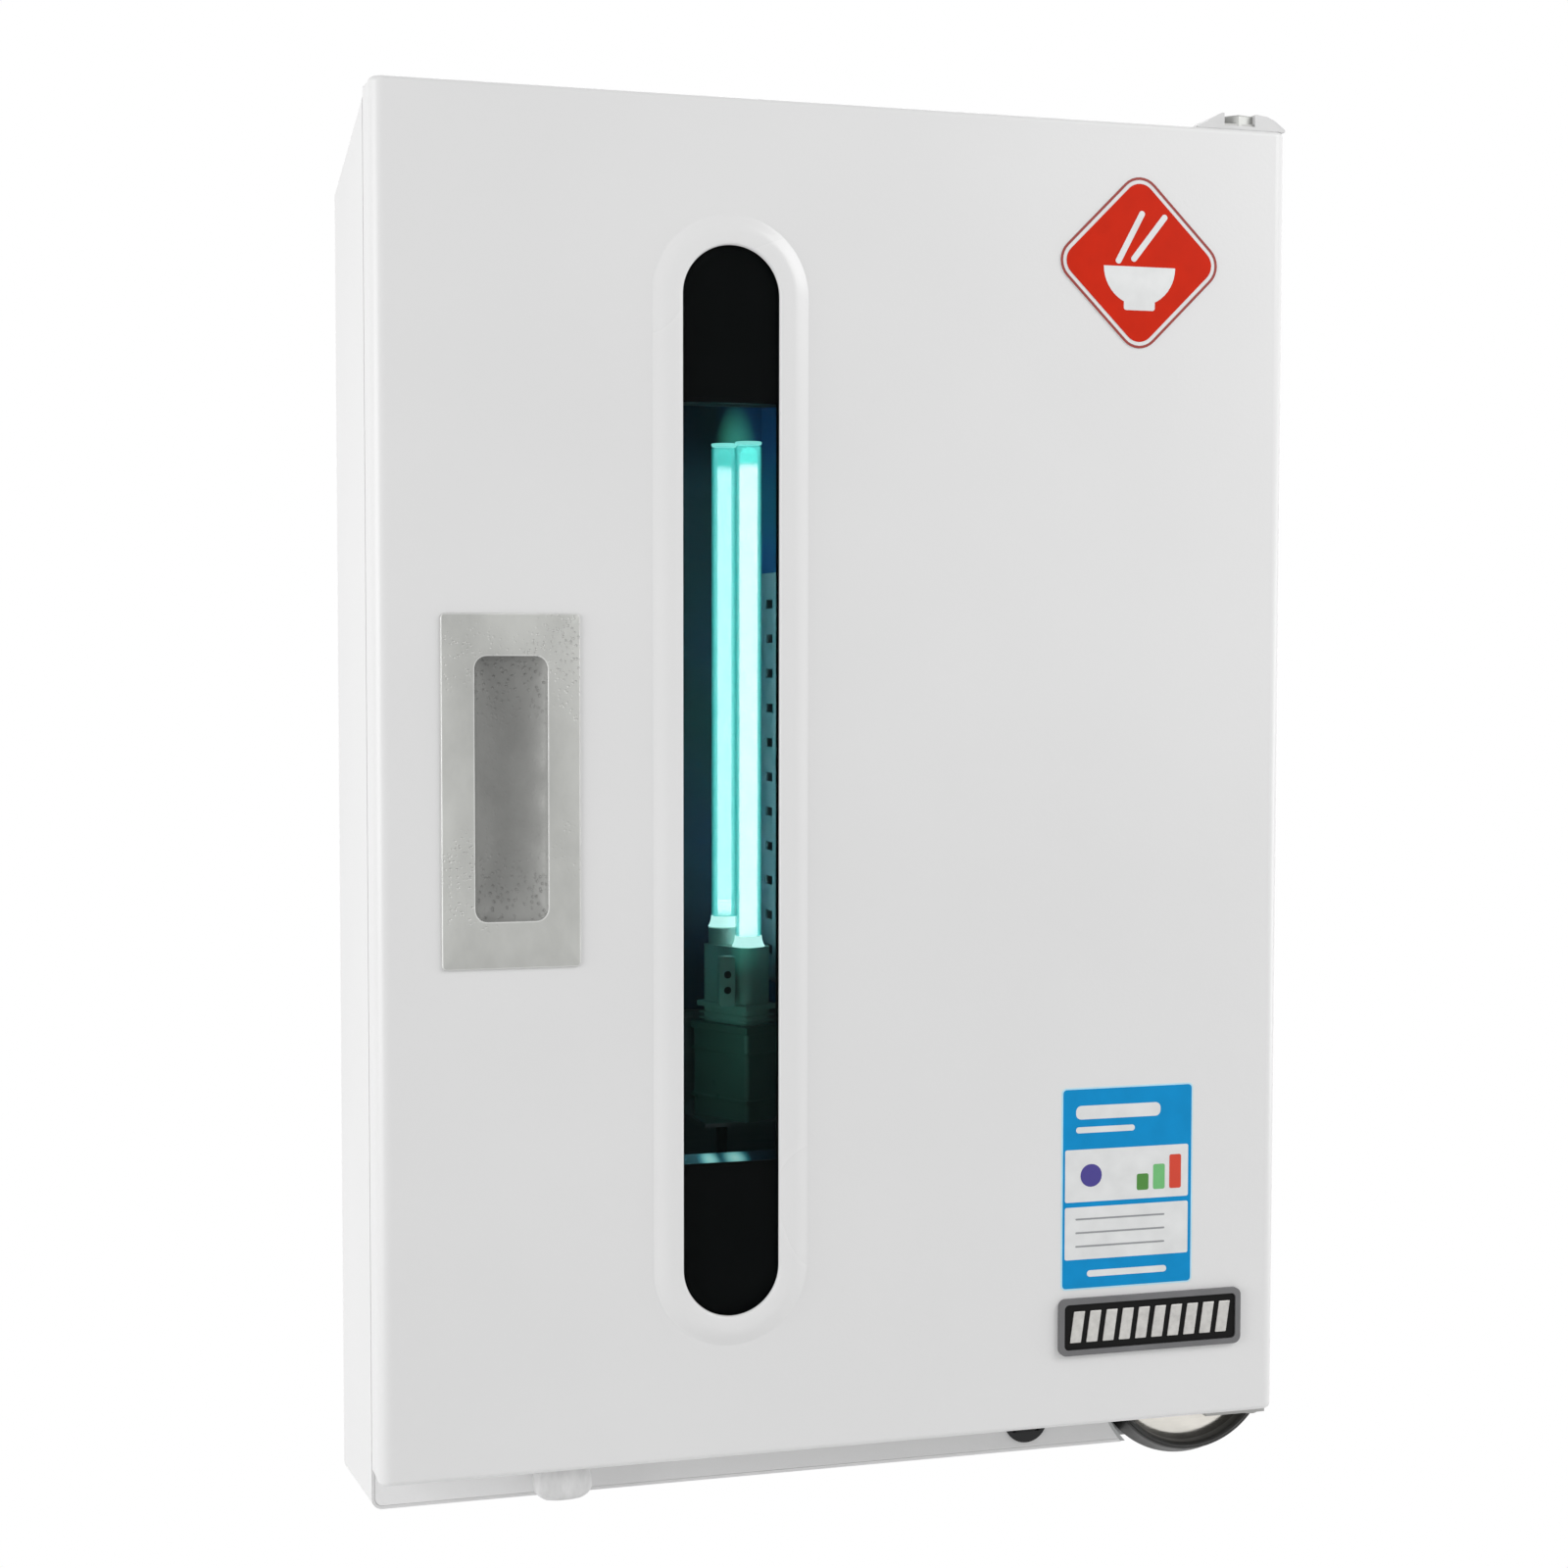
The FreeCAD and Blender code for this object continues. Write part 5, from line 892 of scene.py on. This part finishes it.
def make_handle():
    """The pull: a cast plate with a painted highlight along its edges, a pressed lip with a painted
    highlight, and a scooped finger cup in painted shade.
    """
    low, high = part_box("recessed_handle")
    x, _, z = middle_of("recessed_handle")
    width, height = high.x - low.x, high.z - low.z
    door_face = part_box("door_shell")[0].y
    thick = door_face - low.y
    cup_x, cup_z = x + 0.1 * MM, z + 0.9 * MM

    def depth(share):
        """A level from 0 at the plate's front to 1 at the door's face."""
        return low.y + share * thick

    def edge(grow, y):
        """A ring around the plate's outline, grown by an amount in mm."""
        grow *= MM
        return at_depth(rounded_rectangle(width + 2 * grow, height + 2 * grow, 1.6 * MM + grow, x, z, 8), y)

    def mouth(grow, y, grow_z=None):
        """A ring around the cup's mouth, grown by an amount in mm, and by another along its height."""
        tall = CUP_HEIGHT + 2 * (grow if grow_z is None else grow_z) * MM
        wide = CUP_WIDTH + 2 * grow * MM
        radius = min(CUP_CORNER + max(grow, -1.2) * MM, wide / 2)
        return at_depth(rounded_rectangle(wide, tall, radius, cup_x, cup_z, 8), y)

    def part(name, loops, paint, smooth_angle, end="open"):
        return skin(f"handle_{name}", loops, paint, "door", smooth_angle, end)

    plate = [edge(0, door_face), edge(0, depth(0.55)), edge(-0.1, depth(0.25)), edge(-0.4, depth(0.08)),
             mouth(0.45, depth(0.08))]
    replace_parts(part("plate", plate, "handle_satin", 35), "recessed_handle")
    # A painted highlight along the plate's rounded edge.
    highlight_rings = [edge(-0.02, depth(0.4)), edge(-0.12, depth(0.2)), edge(-0.3, depth(0.05)),
            edge(-0.5, depth(0.075))]
    part("painted_highlight_edge", highlight_rings, "handle_rim_painted_highlight", 50)
    # The lip, with a painted highlight along it.
    lip = [mouth(0.46, depth(0.08)), mouth(0.30, depth(0.05)), mouth(0.12, depth(0.14)),
           mouth(0, depth(0.40)), mouth(0, depth(0.8))]
    part("lip", lip, "handle_rim_painted_highlight", 50)
    # The scoop takes the cup's painted shade.
    scoop = [mouth(0, depth(0.7))]
    for step in range(1, CUP_RINGS + 1):
        share = step / CUP_RINGS
        flat = mouth(-share * (CUP_WIDTH / 2 / MM - 0.2), depth(0.7), -share * CUP_END / MM)
        scoop.append([(px, y + cup_depth(px - cup_x, pz - cup_z), pz) for px, y, pz in flat])
    part("scoop", scoop, "handle_cup_painted_shade", 60, "capped")


def make_gasket():
    """The door seal: a soft strip with a flat foot and a round bulb, swept around the opening."""
    low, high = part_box("door_seal")
    x, _, z = middle_of("door_seal")
    half_width, corner = 4 * MM, 5 * MM
    profile = [(-1.0, 0.0), (-1.0, 0.28), (-0.62, 0.34), (-0.52, 0.74), (-0.28, 0.96), (0.0, 1.0),
               (0.28, 0.96), (0.52, 0.74), (0.62, 0.34), (1.0, 0.28), (1.0, 0.0)]
    loops = []
    for across, up in profile:
        grow = 2 * (across - 1) * half_width
        outline = rounded_rectangle(high.x - low.x + grow, high.z - low.z + grow,
                                    corner + across * half_width, x, z, 6)
        loops.append(at_depth(outline, low.y + (high.y - low.y) * up))
    strip = skin("door_gasket", loops, "seal_grey", "door", 50)
    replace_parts(strip, "door_seal")


def make_pull_tab():
    """The silicone tab: a soft ribbed flap that swells a little towards its round lower end."""
    low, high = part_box("door_pull_tab")
    x, y, _ = middle_of("door_pull_tab")
    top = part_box("door_shell")[0].z - 0.1 * MM
    loops = []
    for level in range(TAB_LEVELS + 1):
        share = level / TAB_LEVELS
        corner = min(1.0, (1 - share) / TAB_ROUND_END)
        squeeze = math.sqrt(max(0.0, 1 - (1 - corner) ** 2))
        belly = 1.0 - 0.10 * max(0.0, 1 - share / 0.45) ** 2
        half_x = (high.x - low.x) / 2 * (0.36 + 0.64 * squeeze) * belly
        half_y = (high.y - low.y) / 2 * (0.55 + 0.45 * squeeze)
        loop = []
        for angle in full_turn(TAB_STEPS):
            cos, sin = math.cos(angle), math.sin(angle)
            px = math.copysign(abs(cos) ** TAB_SQUARENESS, cos)
            py = math.copysign(abs(sin) ** TAB_SQUARENESS, sin)
            ripple = 1 - TAB_RIB_DEPTH * (0.5 + 0.5 * math.cos(TAB_RIBS * angle))
            loop.append((x + half_x * px * ripple, y + half_y * py * ripple, top - (top - low.z) * share))
        loops.append(loop)
    tab = skin("silicone_tab", loops, "silicone", "door", 60, "closed")
    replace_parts(tab, "door_pull_tab")


def extruded(name, x0, x1, profile, paint, body):
    """A profile of (y, z) drawn out from x0 to x1, closed at both ends."""
    loops = [[(x, y, z) for y, z in profile] for x in (x0, x1)]
    return skin(name, loops, paint, body, end="closed")


def make_window_sill():
    """A polished sloping strip along the foot of the clear window, with the lamp's image painted on as a
    reflection.
    """
    low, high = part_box("window_spacer")
    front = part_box("window_mask")[1].y + 0.2 * MM
    back = front + SILL_DEPTH
    foot = low.z + SILL_WALL
    profile = [(front, foot), (back, foot), (back, SILL_EDGE_Z + SILL_RISE), (front, SILL_EDGE_Z)]
    extruded("window_sill", low.x + SILL_WALL, high.x - SILL_WALL, profile, "sill_painted_reflection", "door")


def make_door_lip():
    """White strips behind the door's rim that close the gap to the cabinet at its top, left and foot."""
    low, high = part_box("door_shell")
    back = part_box("body_shell")[0].y - 0.2 * MM
    left, top, foot = low.x + LIP_FROM_EDGE, high.z - LIP_FROM_EDGE, low.z + LIP_FROM_EDGE
    strips = {
        "left": (left, left + LIP_WIDTH, foot, top),
        "top": (left + LIP_WIDTH, high.x - HINGE_CLEAR, top - LIP_WIDTH, top),
        "foot": (left + LIP_WIDTH, high.x - DIAL_CLEAR, foot, foot + LIP_WIDTH),
    }
    for side, (x0, x1, z0, z1) in strips.items():
        outline = [(x1, z0), (x1, z1), (x0, z1), (x0, z0)]
        slab(f"door_lip_{side}", outline, back, high.y - 0.1 * MM, "white_coat", "door")


def make_hinge_cap():
    """The upper hinge's cover: sloping shoulders either side of an open bay with a hexagon bolt in it."""
    low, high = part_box("top_hinge_cap")
    left_ramp = [(0.0, 0.0), (3.4, 0.26), (6.8, 0.66), (8.6, 0.86), (10.2, 1.0)]
    right_ramp = [(0.0, 0.0), (2.4, 0.34), (5.0, 0.68), (8.0, 0.90), (12.0, 1.0)]
    rise = [(low.x + along * MM, low.z + share * (high.z - low.z)) for along, share in left_ramp]
    fall = [(high.x - along * MM, low.z + share * (high.z - low.z)) for along, share in right_ramp]
    middle = (rise[-1][0] + fall[-1][0]) / 2
    bay_left, bay_right = middle - BAY_HALF, middle + BAY_HALF
    floor, bottom = low.z + 0.1 * MM, low.z - CAP_LIP_DROP
    step = floor + 0.4 * MM
    split = low.y + CAP_FRONT_DEPTH
    parts = [
        ("left", split, low.y, [(bay_left, bottom), (bay_left, high.z)] + rise[::-1] + [(low.x, bottom)]),
        ("right", split, low.y, [(high.x, bottom)] + fall + [(bay_right, high.z), (bay_right, bottom)]),
        ("rear", high.y, split, [(high.x, low.z)] + fall[1:] + rise[::-1]),
        ("foot", low.y + 0.8 * MM, low.y,
         [(bay_right, bottom), (bay_right, step), (bay_left, step), (bay_left, bottom)]),
    ]
    for name, back, front, outline in parts:
        cover = slab(f"hinge_cover_{name}", outline, back, front, "hinge_cover", "cabinet")
        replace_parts(cover, "top_hinge_cap")
    bolt, top = middle_of("hinge_cap_screw"), high.z - 0.3 * MM
    turns = [math.radians(60 * side - 90 - BOLT_TURN) for side in range(6)]
    loops = []
    for reach, z in ((1.0, floor), (1.0, top - 0.5 * MM), (0.96, top)):
        arm = reach * BOLT_REACH
        loops.append([(bolt.x + arm * math.cos(turn), bolt.y + arm * math.sin(turn), z) for turn in turns])
    head = skin("hinge_bolt_head", loops, "screw_zinc", "cabinet", 20, "capped")
    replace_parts(head, "hinge_cap_screw")


# ================================================================ lamp

def tube_places():
    """The centres of the lamp's rear and front legs."""
    middle = middle_of("lamp_tube")
    turn = math.radians(LAMP_TURN)
    step = Vector((math.cos(turn), math.sin(turn), 0)) * (LAMP_SPACING / 2)
    return sorted((middle - step, middle + step), key=lambda place: -place.y)


def make_leg(name, place, core, foot, lit_from, lit_to):
    """One glowing leg: the gas column, four soft shells around it, its crown with a painted glint and its
    flared collar.
    """
    low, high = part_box("lamp_tube")
    tall = high.z - low.z
    base = Vector((place.x, place.y, low.z))

    def turned(piece, profile, paint, steps=40):
        lathe(f"{piece}_{name}", profile, base, UP, paint, "cabinet", steps)

    gas_top = tall - 2.2 * MM
    column = [(0.0, foot + 0.5 * MM), (core, foot + 0.5 * MM), (core, gas_top - 2.5 * MM),
              (core * 0.7, gas_top - 0.6 * MM), (0.0, gas_top)]
    turned("gas_column", column, f"gas_glow_{name}")
    dome_top = tall - lit_to
    reach = (GLASS_RADIUS - 0.15 * MM - core) / 4
    shells = (f"halo_{name}", "halo_middle", "halo_outer", "halo_rim")
    for number, paint in enumerate(shells, start=1):
        radius = core + reach * number
        halo = [(radius, foot + 1 * MM), (radius, tall - 1.4 * MM - 0.2 * MM * number)]
        if number == 1:
            halo = [(radius, foot + lit_from), (radius, dome_top - 2 * MM),
                    (radius * 0.86, dome_top - 0.6 * MM), (core * 1.04, dome_top)]
        turned(f"gas_shell_{number}", halo, paint)
    # A painted glint: a thin glowing ring on the rim of the glass's top.
    rim = [(0.5, 1.5), (0.1, 1.0), (0.0, 0.4), (0.4, 0.2), (0.8, 0.6), (0.5, 1.5)]
    crown = [(GLASS_RADIUS - inset * MM, tall - drop * MM) for inset, drop in rim]
    turned("painted_glint_crown", crown, "collar_glow_and_painted_glint", 48)
    hug = GLASS_RADIUS + 0.05 * MM
    collar = [(hug, foot + COLLAR_HEIGHT), (hug + 0.2 * MM, foot + 0.6 * COLLAR_HEIGHT),
              (hug + 0.55 * COLLAR_SPREAD, foot + 0.25 * COLLAR_HEIGHT),
              (hug + COLLAR_SPREAD, foot + 0.1 * MM), (hug, foot + 0.1 * MM)]
    turned("glass_collar", collar, "collar_glow_and_painted_glint", 48)


def make_lamp_light():
    """Both legs and the boss under the rear one."""
    rear, front = tube_places()
    make_leg("rear", rear, REAR_GAS, REAR_BOSS, 11 * MM, 10 * MM)
    make_leg("front", front, FRONT_GAS, 0.0, 3 * MM, 9 * MM)
    hug = GLASS_RADIUS + 0.05 * MM
    boss = [(hug + 1.2 * MM, 0.0), (hug + 1.2 * MM, REAR_BOSS - 0.5 * MM), (hug + 0.7 * MM, REAR_BOSS),
            (hug, REAR_BOSS)]
    base = Vector((rear.x, rear.y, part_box("lamp_tube")[0].z))
    lathe("lamp_cap_boss", boss, base, UP, "lamp_plastic", "cabinet", 48)


# Blocks on the lamp's cap and socket: name, drop from the top, length, width, height (in mm) and paint.
CAP_BLOCKS = [
    ("lamp_cap_step", 24, 29, 17, 2.2, "lamp_plastic"),
    ("lamp_cap_rib_1", 27.5, 27.7, 15.7, 0.8, "lamp_plastic"),
    ("lamp_cap_rib_2", 29.7, 27.7, 15.7, 0.8, "lamp_plastic"),
    ("lamp_cap_rib_3", 31.9, 27.7, 15.7, 0.8, "lamp_plastic"),
    ("socket_rim", 1.6, 33, 20, 3.0, "lamp_socket"),
    ("socket_band", 11, 32.6, 19.6, 1.0, "lamp_socket"),
    ("socket_foot", 30, 32.8, 19.8, 1.6, "lamp_socket"),
]


def make_lamp_cap():
    """Steps, ribs and an ear with two eyelets on the lamp's moulded cap, whose bores are black discs of
    painted shade, and the rims of its socket.
    """
    cap_low, cap_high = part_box("lamp_base")
    tops = {"lamp_plastic": cap_high.z, "lamp_socket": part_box("lamp_holder")[1].z}
    turn = Matrix.Rotation(math.radians(LAMP_TURN), 3, "Z")
    middle = middle_of("lamp_tube")
    faces = [(0, 1, 3, 2), (4, 6, 7, 5), (0, 4, 5, 1), (2, 3, 7, 6), (0, 2, 6, 4), (1, 5, 7, 3)]
    halves = (-0.5 * MM, 0.5 * MM)
    for name, drop, long, wide, tall, paint in CAP_BLOCKS:
        corners = [(dx * long, dy * wide, dz * tall) for dx in halves for dy in halves for dz in halves]
        centre = Vector((middle.x, middle.y, tops[paint] - drop * MM))
        points = [centre + turn @ Vector(corner) for corner in corners]
        soften(new_piece(name, points, faces, paint, "cabinet"), 0.4 * MM)
    x, y, z = middle.x - 7.5 * MM, cap_low.y - 0.2 * MM, cap_high.z - 13 * MM
    plate = rounded_rectangle(6.4 * MM, 20 * MM, 1.2 * MM, x, z)
    slab("lamp_cap_ear", plate, y + 4 * MM, y, "lamp_plastic", "cabinet", 0.3 * MM)
    for number, rise in enumerate((2.8, -3.4), start=1):
        outer = arc(x, z + rise * MM, 2.1 * MM, 0, 345, 23)
        inner = arc(x, z + rise * MM, 1.5 * MM, 0, 345, 23)
        band(f"lamp_cap_eyelet_{number}", outer, inner, y, y - 0.35 * MM, "lamp_plastic", "cabinet",
             "lamp_plastic")
        # Painted shade: a black disc stands for the dark inside of each bore.
        slab(f"lamp_cap_bore_painted_shade_{number}", inner, y, y - 0.05 * MM, "electric_black", "cabinet")


# ================================================================ baskets

def slot_centres(length, margin, pitch):
    """Evenly spaced centres along a length, at least a margin in."""
    count = int((length - 2 * margin) / pitch) + 1
    start = (length - (count - 1) * pitch) / 2
    return [start + step * pitch for step in range(count)]


def cuts(centres, width, length):
    """The places where a wall is divided: its ends and both sides of each slot."""
    sides = [centre + half for centre in centres for half in (-width / 2, width / 2)]
    return [0.0] + sides + [length]


def slotted_wall(corner, along, up, columns, rows, reach, rise):
    """Points and faces of a flat wall with a rectangular slot at each column and row."""
    cuts_a = cuts(columns, SLOT_LENGTH, reach)
    cuts_b = cuts(rows, SLOT_HEIGHT, rise)
    points = [corner + along * a + up * b for b in cuts_b for a in cuts_a]
    width = len(cuts_a)
    faces = []
    for row in range(len(cuts_b) - 1):
        for column in range(width - 1):
            if row % 2 and column % 2:
                continue
            start = row * width + column
            faces.append((start, start + 1, start + 1 + width, start + width))
    return points, faces


def make_basket(side):
    """A folded basket of slotted sheet with a rolled rim and two hooks."""
    node = f"basket_{side}"
    low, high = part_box(node)
    x0, x1, y0, z0 = low.x, high.x, low.y, low.z
    y1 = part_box("basket_rails")[0].y - 5.4 * MM
    z1 = high.z - BASKET_SHEET
    wide, deep, tall = x1 - x0, y1 - y0, z1 - z0
    rows = slot_centres(tall, 12 * MM, SLOT_PITCH_Z)
    columns = slot_centres(wide, 12 * MM, SLOT_PITCH_X)
    ends = [deep / 2 + END_SLOT_SHIFT]
    floor_rows = slot_centres(deep, 10 * MM, SLOT_PITCH_Z)
    walls = [
        (Vector((x0, y0, z0)), EAST, UP, columns, rows, wide, tall),
        (Vector((x0, y1, z0)), EAST, UP, columns, rows, wide, tall),
        (Vector((x0, y0, z0)), NORTH, UP, ends, rows, deep, tall),
        (Vector((x1, y0, z0)), NORTH, UP, ends, rows, deep, tall),
        (Vector((x0, y0, z0)), EAST, NORTH, columns, floor_rows, wide, deep),
    ]
    points, faces = [], []
    for wall in walls:
        wall_points, wall_faces = slotted_wall(*wall)
        start = len(points)
        points += wall_points
        faces += [tuple(start + corner for corner in face) for face in wall_faces]
    body = f"{side}_basket"
    basket = new_piece(f"{node}_sheet", points, faces, "basket_steel", body)
    sheet = basket.modifiers.new("sheet", "SOLIDIFY")
    sheet.thickness = BASKET_SHEET
    sheet.offset = -1.0
    sheet.use_even_offset = True
    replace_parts(basket, node)
    make_rim(node, body, (x0, x1, y0, y1, z1))
    make_hooks(node, body, (x0, x1, y1, z1), high.y)


def make_rim(node, body, bounds):
    """A rolled wire edge around the basket's mouth."""
    x0, x1, y0, y1, z1 = bounds
    radius = 1.1 * MM
    wide, deep = x1 - x0 - 2 * radius, y1 - y0 - 2 * radius
    outline = rounded_rectangle(wide, deep, 2 * MM, (x0 + x1) / 2, (y0 + y1) / 2)
    curve = bpy.data.curves.new(f"{node}_rim", "CURVE")
    curve.dimensions = "3D"
    curve.bevel_depth = radius
    curve.bevel_resolution = 4
    line = curve.splines.new("POLY")
    line.points.add(len(outline) - 1)
    for point, (px, py) in zip(line.points, outline):
        point.co = (px, py, z1 - radius, 1.0)
    line.use_cyclic_u = True
    add_object(f"{node}_rim", curve, "basket_steel", body)


def make_hooks(node, body, bounds, tip):
    """Two folded strips over the rail."""
    x0, x1, y1, z1 = bounds
    inset, half, drop, sheet = 28 * MM, 7 * MM, 9 * MM, BASKET_SHEET
    path = [(y1 - sheet, z1 - drop), (y1 - sheet, z1 + sheet), (tip, z1 + sheet), (tip, z1 - drop),
            (tip - sheet, z1 - drop), (tip - sheet, z1), (y1, z1), (y1, z1 - drop)]
    for number, centre in enumerate((x0 + inset, x1 - inset), start=1):
        hook = extruded(f"{node}_hook_{number}", centre - half, centre + half, path, "basket_steel", body)
        soften(hook, 0.3 * MM)


# ================================================================ screws and dial

def make_panel_screws():
    """Pan heads with a cross recess over the screws of the door's inner panel."""
    node, axis, head = "inner_panel_screws", NORTH, 1.0 * MM
    for number, (low, high) in enumerate(clusters(node, 15 * MM), start=1):
        centre = (low + high) / 2
        top = Vector((centre.x, high.y, centre.z))
        screw = domed_head(f"panel_screw_{number}", top, axis, 2.8 * MM, head)
        if number == 1:
            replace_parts(screw, node)


def domed_head(name, top, axis, radius, height):
    """A low domed head with a cross-shaped recess."""
    steps, rings = 32, 6
    side, across = across_axis(axis)
    angles = full_turn(steps)
    arm, reach, depth = radius * 0.20, radius * 0.62, height * 0.65
    loops = []
    for ring in range(rings + 1):
        share = ring / rings
        loop = []
        for angle in angles:
            dx, dz = share * math.cos(angle) * radius, share * math.sin(angle) * radius
            sunk = min(abs(dx), abs(dz)) < arm and max(abs(dx), abs(dz)) < reach
            level = -height * (0.28 * share ** 2) - (depth if sunk else 0.0)
            loop.append(top + side * dx + across * dz + axis * level)
        loops.append(loop)
    rim = [(side * math.cos(angle) + across * math.sin(angle)) * radius for angle in angles]
    loops.append([top + spoke - axis * height for spoke in rim])
    return skin(name, loops, "screw_zinc", "door", 40)


def make_dial():
    """A domed bright face and a rubber tyre with a groove."""
    low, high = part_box("dial_grip_ring")
    centre = Vector(((low.x + high.x) / 2, low.y, (low.z + high.z) / 2))
    radius = (high.x - low.x) / 2
    depth = high.y - low.y
    inner = radius - DIAL_TAPER - DIAL_RING
    rubber = [(0.0, 1.6 * MM), (0.5 * MM, 0.5 * MM), (1.3 * MM, 0.0), (1.8 * MM, 0.25 * MM),
              (2.2 * MM, 0.75 * MM), (2.6 * MM, 0.6 * MM), (TYRE_FRONT - 0.2 * MM, 1.2 * MM),
              (TYRE_FRONT, 2.4 * MM)]
    tyre = [(inner, depth)] + [(inner + out, back) for out, back in rubber]
    tyre += [(radius - TYRE_SHY, depth), (inner, depth)]
    ring = lathe("dial_tyre", tyre, centre, NORTH, "grip_rubber", "dial", 128, 50)
    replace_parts(ring, "dial_grip_ring")
    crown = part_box("timer_dial")[0].y - low.y
    steps = 14
    profile = [(inner * step / steps, crown + DIAL_DOME * (step / steps) ** 2) for step in range(steps + 1)]
    back = crown + DIAL_DOME + 2 * MM
    profile += [(inner, back), (DIAL_HUB, back), (DIAL_HUB, depth), (0.0, depth)]
    face = lathe("dial_bright_face", profile, centre, NORTH, "dial_face", "dial", 128, 50)
    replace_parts(face, "timer_dial")


# ================================================================ stage

def seen_level(tree):
    """1 for rays that show a surface, and the softer sky level for rays that light."""
    path = add_node(tree, "LightPath", {})
    seen = combined(tree, "Math", "MAXIMUM", path.outputs["Is Camera Ray"], path.outputs["Is Glossy Ray"])
    seen = combined(tree, "Math", "MAXIMUM", seen, path.outputs["Is Transmission Ray"])
    return spread(tree, seen, SKY_LIGHT, 1.0, 0.0, 1.0)


def make_world():
    """White where it is seen, and a softer level where it lights."""
    world = bpy.data.worlds.new("studio")
    bpy.context.scene.world = world
    world.use_nodes = True
    tree = world.node_tree
    background = tree.nodes["Background"]
    background.inputs["Color"].default_value = (1.0, 1.0, 1.0, 1.0)
    tree.links.new(seen_level(tree), background.inputs["Strength"])


def make_floor():
    """A pale floor under the object that takes its shadow and fades into the white surroundings."""
    material, tree = new_material("studio_floor", (FLOOR_COLOUR,) * 3, 0.9, Specular_IOR_Level=0.0)
    away = length_of(tree, stretched_place(tree, (1.0, 1.0, 0.0)))
    far = spread(tree, away, 0.0, 1.0, FLOOR_NEAR, FLOOR_FAR)
    feed(material, "Base Color", ramp(tree, far, [(0.0, FLOOR_COLOUR), (1.0, 0.0)]))
    emit(material, ramp(tree, far, [(0.0, FLOOR_LIFT), (1.0, 1.0)]))
    feed(material, "Emission Strength", seen_level(tree))
    half, height = FLOOR_SIZE / 2, CAD_LOW.z - FLOOR_DROP
    mesh = bpy.data.meshes.new("studio_floor")
    corners = [(-half, -half, height), (half, -half, height), (half, half, height), (-half, half, height)]
    mesh.from_pydata(corners, [], [(0, 1, 2, 3)])
    mesh.materials.append(material)
    floor = bpy.data.objects.new("studio_floor", mesh)
    bpy.context.scene.collection.objects.link(floor)


def add_light(name, kind, place, power):
    data = bpy.data.lights.new(name, kind)
    data.energy = power
    lamp = bpy.data.objects.new(name, data)
    bpy.context.scene.collection.objects.link(lamp)
    lamp.location = place
    return lamp


def make_lights():
    for name, place, target, size, power in AREA_LIGHTS:
        lamp = add_light(name, "AREA", place, power)
        lamp.data.shape = "SQUARE"
        lamp.data.size = size
        aim = Vector(target) - Vector(place)
        lamp.rotation_mode = "QUATERNION"
        lamp.rotation_quaternion = aim.to_track_quat("-Z", "Y")


def make_lamp_spill():
    """Scattered lamp light in the lower part of the chamber, in front of the cap and socket."""
    lamp = add_light("lamp_spill", "POINT", SPILL_PLACE, SPILL_POWER)
    lamp.data.color = SPILL_COLOUR
    lamp.data.shadow_soft_size = SPILL_RADIUS
    lamp.visible_camera = False


def make_camera():
    data = bpy.data.cameras.new("camera")
    data.lens = CAMERA_LENS_MM
    data.sensor_width = 36.0
    data.clip_start = 0.01
    camera = bpy.data.objects.new("camera", data)
    bpy.context.scene.collection.objects.link(camera)
    yaw, pitch, roll = CAMERA_YAW, CAMERA_PITCH, CAMERA_ROLL
    forward = Vector((math.sin(yaw) * math.cos(pitch), math.cos(yaw) * math.cos(pitch), -math.sin(pitch)))
    level_right = Vector((math.cos(yaw), -math.sin(yaw), 0))
    level_up = level_right.cross(forward)
    right = level_right * math.cos(roll) + level_up * math.sin(roll)
    up = level_up * math.cos(roll) - level_right * math.sin(roll)
    turn = Matrix((right, up, -forward)).transposed()
    camera.matrix_world = Matrix.Translation(CAMERA_PLACE) @ turn.to_4x4()
    bpy.context.scene.camera = camera


def main():
    bpy.context.scene.view_settings.view_transform = "Standard"
    make_paint()
    dress_frame()
    make_badge()
    make_label()
    make_nameplate()
    make_bezel()
    make_handle()
    make_gasket()
    make_pull_tab()
    make_window_sill()
    make_door_lip()
    make_hinge_cap()
    make_lamp_light()
    make_lamp_cap()
    make_basket("left")
    make_basket("right")
    make_panel_screws()
    make_dial()
    make_world()
    make_floor()
    make_lights()
    make_lamp_spill()
    make_camera()


main()
